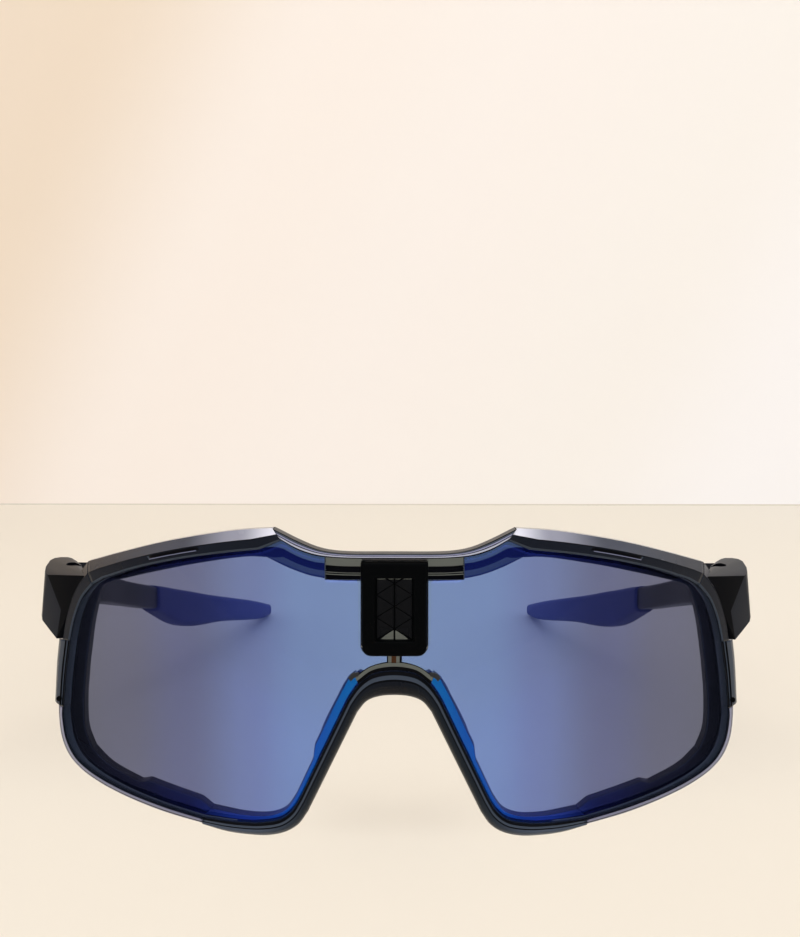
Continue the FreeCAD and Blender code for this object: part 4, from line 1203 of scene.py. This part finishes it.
def backdrop():
    """A pale floor and a wall behind, darker and warmer towards one side in painted shade, with a faint
    painted glow; the wall shows only from its front.
    """
    material, tree, surface, spot = new_material("pale_paper")
    split = add_node(tree, "ShaderNodeSeparateXYZ", {}, {"Vector": spot})
    lean = add_node(
        tree, "ShaderNodeMath", {"operation": "MULTIPLY_ADD", 1: -0.5},
        {0: split.outputs["Z"], 2: split.outputs["X"]},
    )
    share = add_node(
        tree, "ShaderNodeMapRange", {"From Min": -0.2, "From Max": 0.13}, {"Value": lean.outputs[0]}
    )
    # Painted shade: the wall's ramp makes it darker and warmer towards its upper left.
    wall_tone_and_shade = colour_steps(
        add_node(tree, "ShaderNodeValToRGB", {}, {"Fac": share.outputs["Result"]}),
        [(0.0, "e2d2bf"), (0.26, "ede4dc"), (0.5, "ede6e0"), (0.76, "ece7e1"), (1.0, "eeebea")],
    )
    on_wall = add_node(
        tree, "ShaderNodeMath", {"operation": "GREATER_THAN", 1: 0.0005}, {0: split.outputs["Z"]}
    )
    tone = add_node(
        tree, "ShaderNodeMix", {"data_type": "RGBA", 6: srgb("e4ddd0")}, {0: on_wall.outputs[0], 7: wall_tone_and_shade}
    )
    # Painted light: the wall glows faintly with its own colour.
    painted_glow = add_node(tree, "ShaderNodeMath", {"operation": "MULTIPLY", 1: 0.16}, {0: on_wall.outputs[0]})
    paper = add_node(
        tree, "ShaderNodeBsdfPrincipled", {"Specular IOR Level": 0.1},
        {
            "Base Color": tone.outputs[2], "Roughness": uneven_roughness(tree, spot, 40.0, 0.8, 0.95),
            "Emission Color": tone.outputs[2], "Emission Strength": painted_glow.outputs[0],
        },
    )
    clear = add_node(tree, "ShaderNodeBsdfTransparent")
    facing = add_node(tree, "ShaderNodeNewGeometry").outputs["Backfacing"]
    body = add_node(tree, "ShaderNodeMixShader", {}, {0: facing, 1: paper.outputs[0], 2: clear.outputs[0]})
    tree.links.new(body.outputs[0], surface)
    far, half = 0.217, 3.0
    mesh = bpy.data.meshes.new("backdrop")
    mesh.from_pydata(
        [(-half, -half, 0), (half, -half, 0), (half, half, 0), (-half, half, 0),
         (-half, far, 0), (half, far, 0), (half, far, half), (-half, far, half)], [],
        [(0, 1, 2, 3), (4, 5, 6, 7)],
    )
    mesh.materials.append(material)
    stage = put("backdrop", mesh)


def camera():
    """A short portrait lens a forearm's length away, a little above the brow."""
    distance, rise, turn = 285.0, math.radians(10.0), math.radians(0.5)
    below_axis, aside = math.radians(8.1), math.radians(0.2)
    data = bpy.data.cameras.new("camera")
    data.sensor_fit = "VERTICAL"
    data.sensor_height = 36.0
    data.lens = 58.4
    level = distance * math.cos(rise)
    holder = put("camera", data)
    holder.location = stand((level * math.sin(turn), -level * math.cos(turn), distance * math.sin(rise)))
    holder.rotation_euler = (math.pi / 2 - (TILT + rise - below_axis), 0.0, turn - aside)
    bpy.context.scene.camera = holder


def soft_light(name, spot, target, size, power, colour, mirrored=True):
    """A square of even light; a mirrored one also shows in what is shiny."""
    data = bpy.data.lights.new(name, "AREA")
    data.shape = "RECTANGLE"
    data.size, data.size_y = size
    data.energy = power
    data.color = srgb(colour)[:3]
    lamp = put(name, data)
    lamp.visible_glossy = mirrored
    lamp.location = spot
    lamp.rotation_euler = (Vector(target) - Vector(spot)).to_track_quat("-Z", "Y").to_euler()


def studio_world():
    """Even light from above and behind, dimmer towards the front, where the room is darker."""
    world = bpy.data.worlds.new("studio")
    world.use_nodes = True
    tree = world.node_tree
    tree.nodes.clear()
    direction = add_node(tree, "ShaderNodeTexCoord").outputs["Generated"]
    split = add_node(tree, "ShaderNodeSeparateXYZ", {}, {"Vector": direction})
    level = add_node(
        tree, "ShaderNodeMapRange", {"From Min": -1.0, "From Max": 0.2, "To Min": 0.42, "To Max": 0.62},
        {"Value": split.outputs["Y"]},
    )
    above = add_node(
        tree, "ShaderNodeMapRange", {"From Min": 0.05, "From Max": 0.7, "To Min": 0.0, "To Max": 0.35},
        {"Value": split.outputs["Z"]},
    )
    both = add_node(
        tree, "ShaderNodeMath", {"operation": "ADD"}, {0: level.outputs["Result"], 1: above.outputs["Result"]}
    )
    seen = add_node(tree, "ShaderNodeLightPath").outputs["Is Camera Ray"]
    strength = add_node(tree, "ShaderNodeMix", {3: 0.95}, {0: seen, 2: both.outputs[0]})
    light = add_node(
        tree, "ShaderNodeBackground", {"Color": srgb("fafbff")}, {"Strength": strength.outputs[0]}
    )
    add_node(tree, "ShaderNodeOutputWorld", {}, {"Surface": light.outputs[0]})
    bpy.context.scene.world = world


backdrop()
camera()
soft_light("overhead_bank", (0.0, -0.1, 0.75), (0.0, 0.0, 0.0), (0.9, 0.5), 1.6, "fffaf2")
soft_light("front_bank", (0.0, -0.5, 0.6), (0.0, 0.0, 0.03), (0.8, 0.25), 0.5, "f4f6ff")
for side, hand in SIDES:
    spot = (side * 0.6, -0.35, 0.4)
    soft_light(hand + "_bank", spot, (0.0, 0.0, 0.03), (0.3, 0.4), 0.8, "ffffff", mirrored=False)
studio_world()
bpy.context.scene.view_settings.view_transform = "Standard"
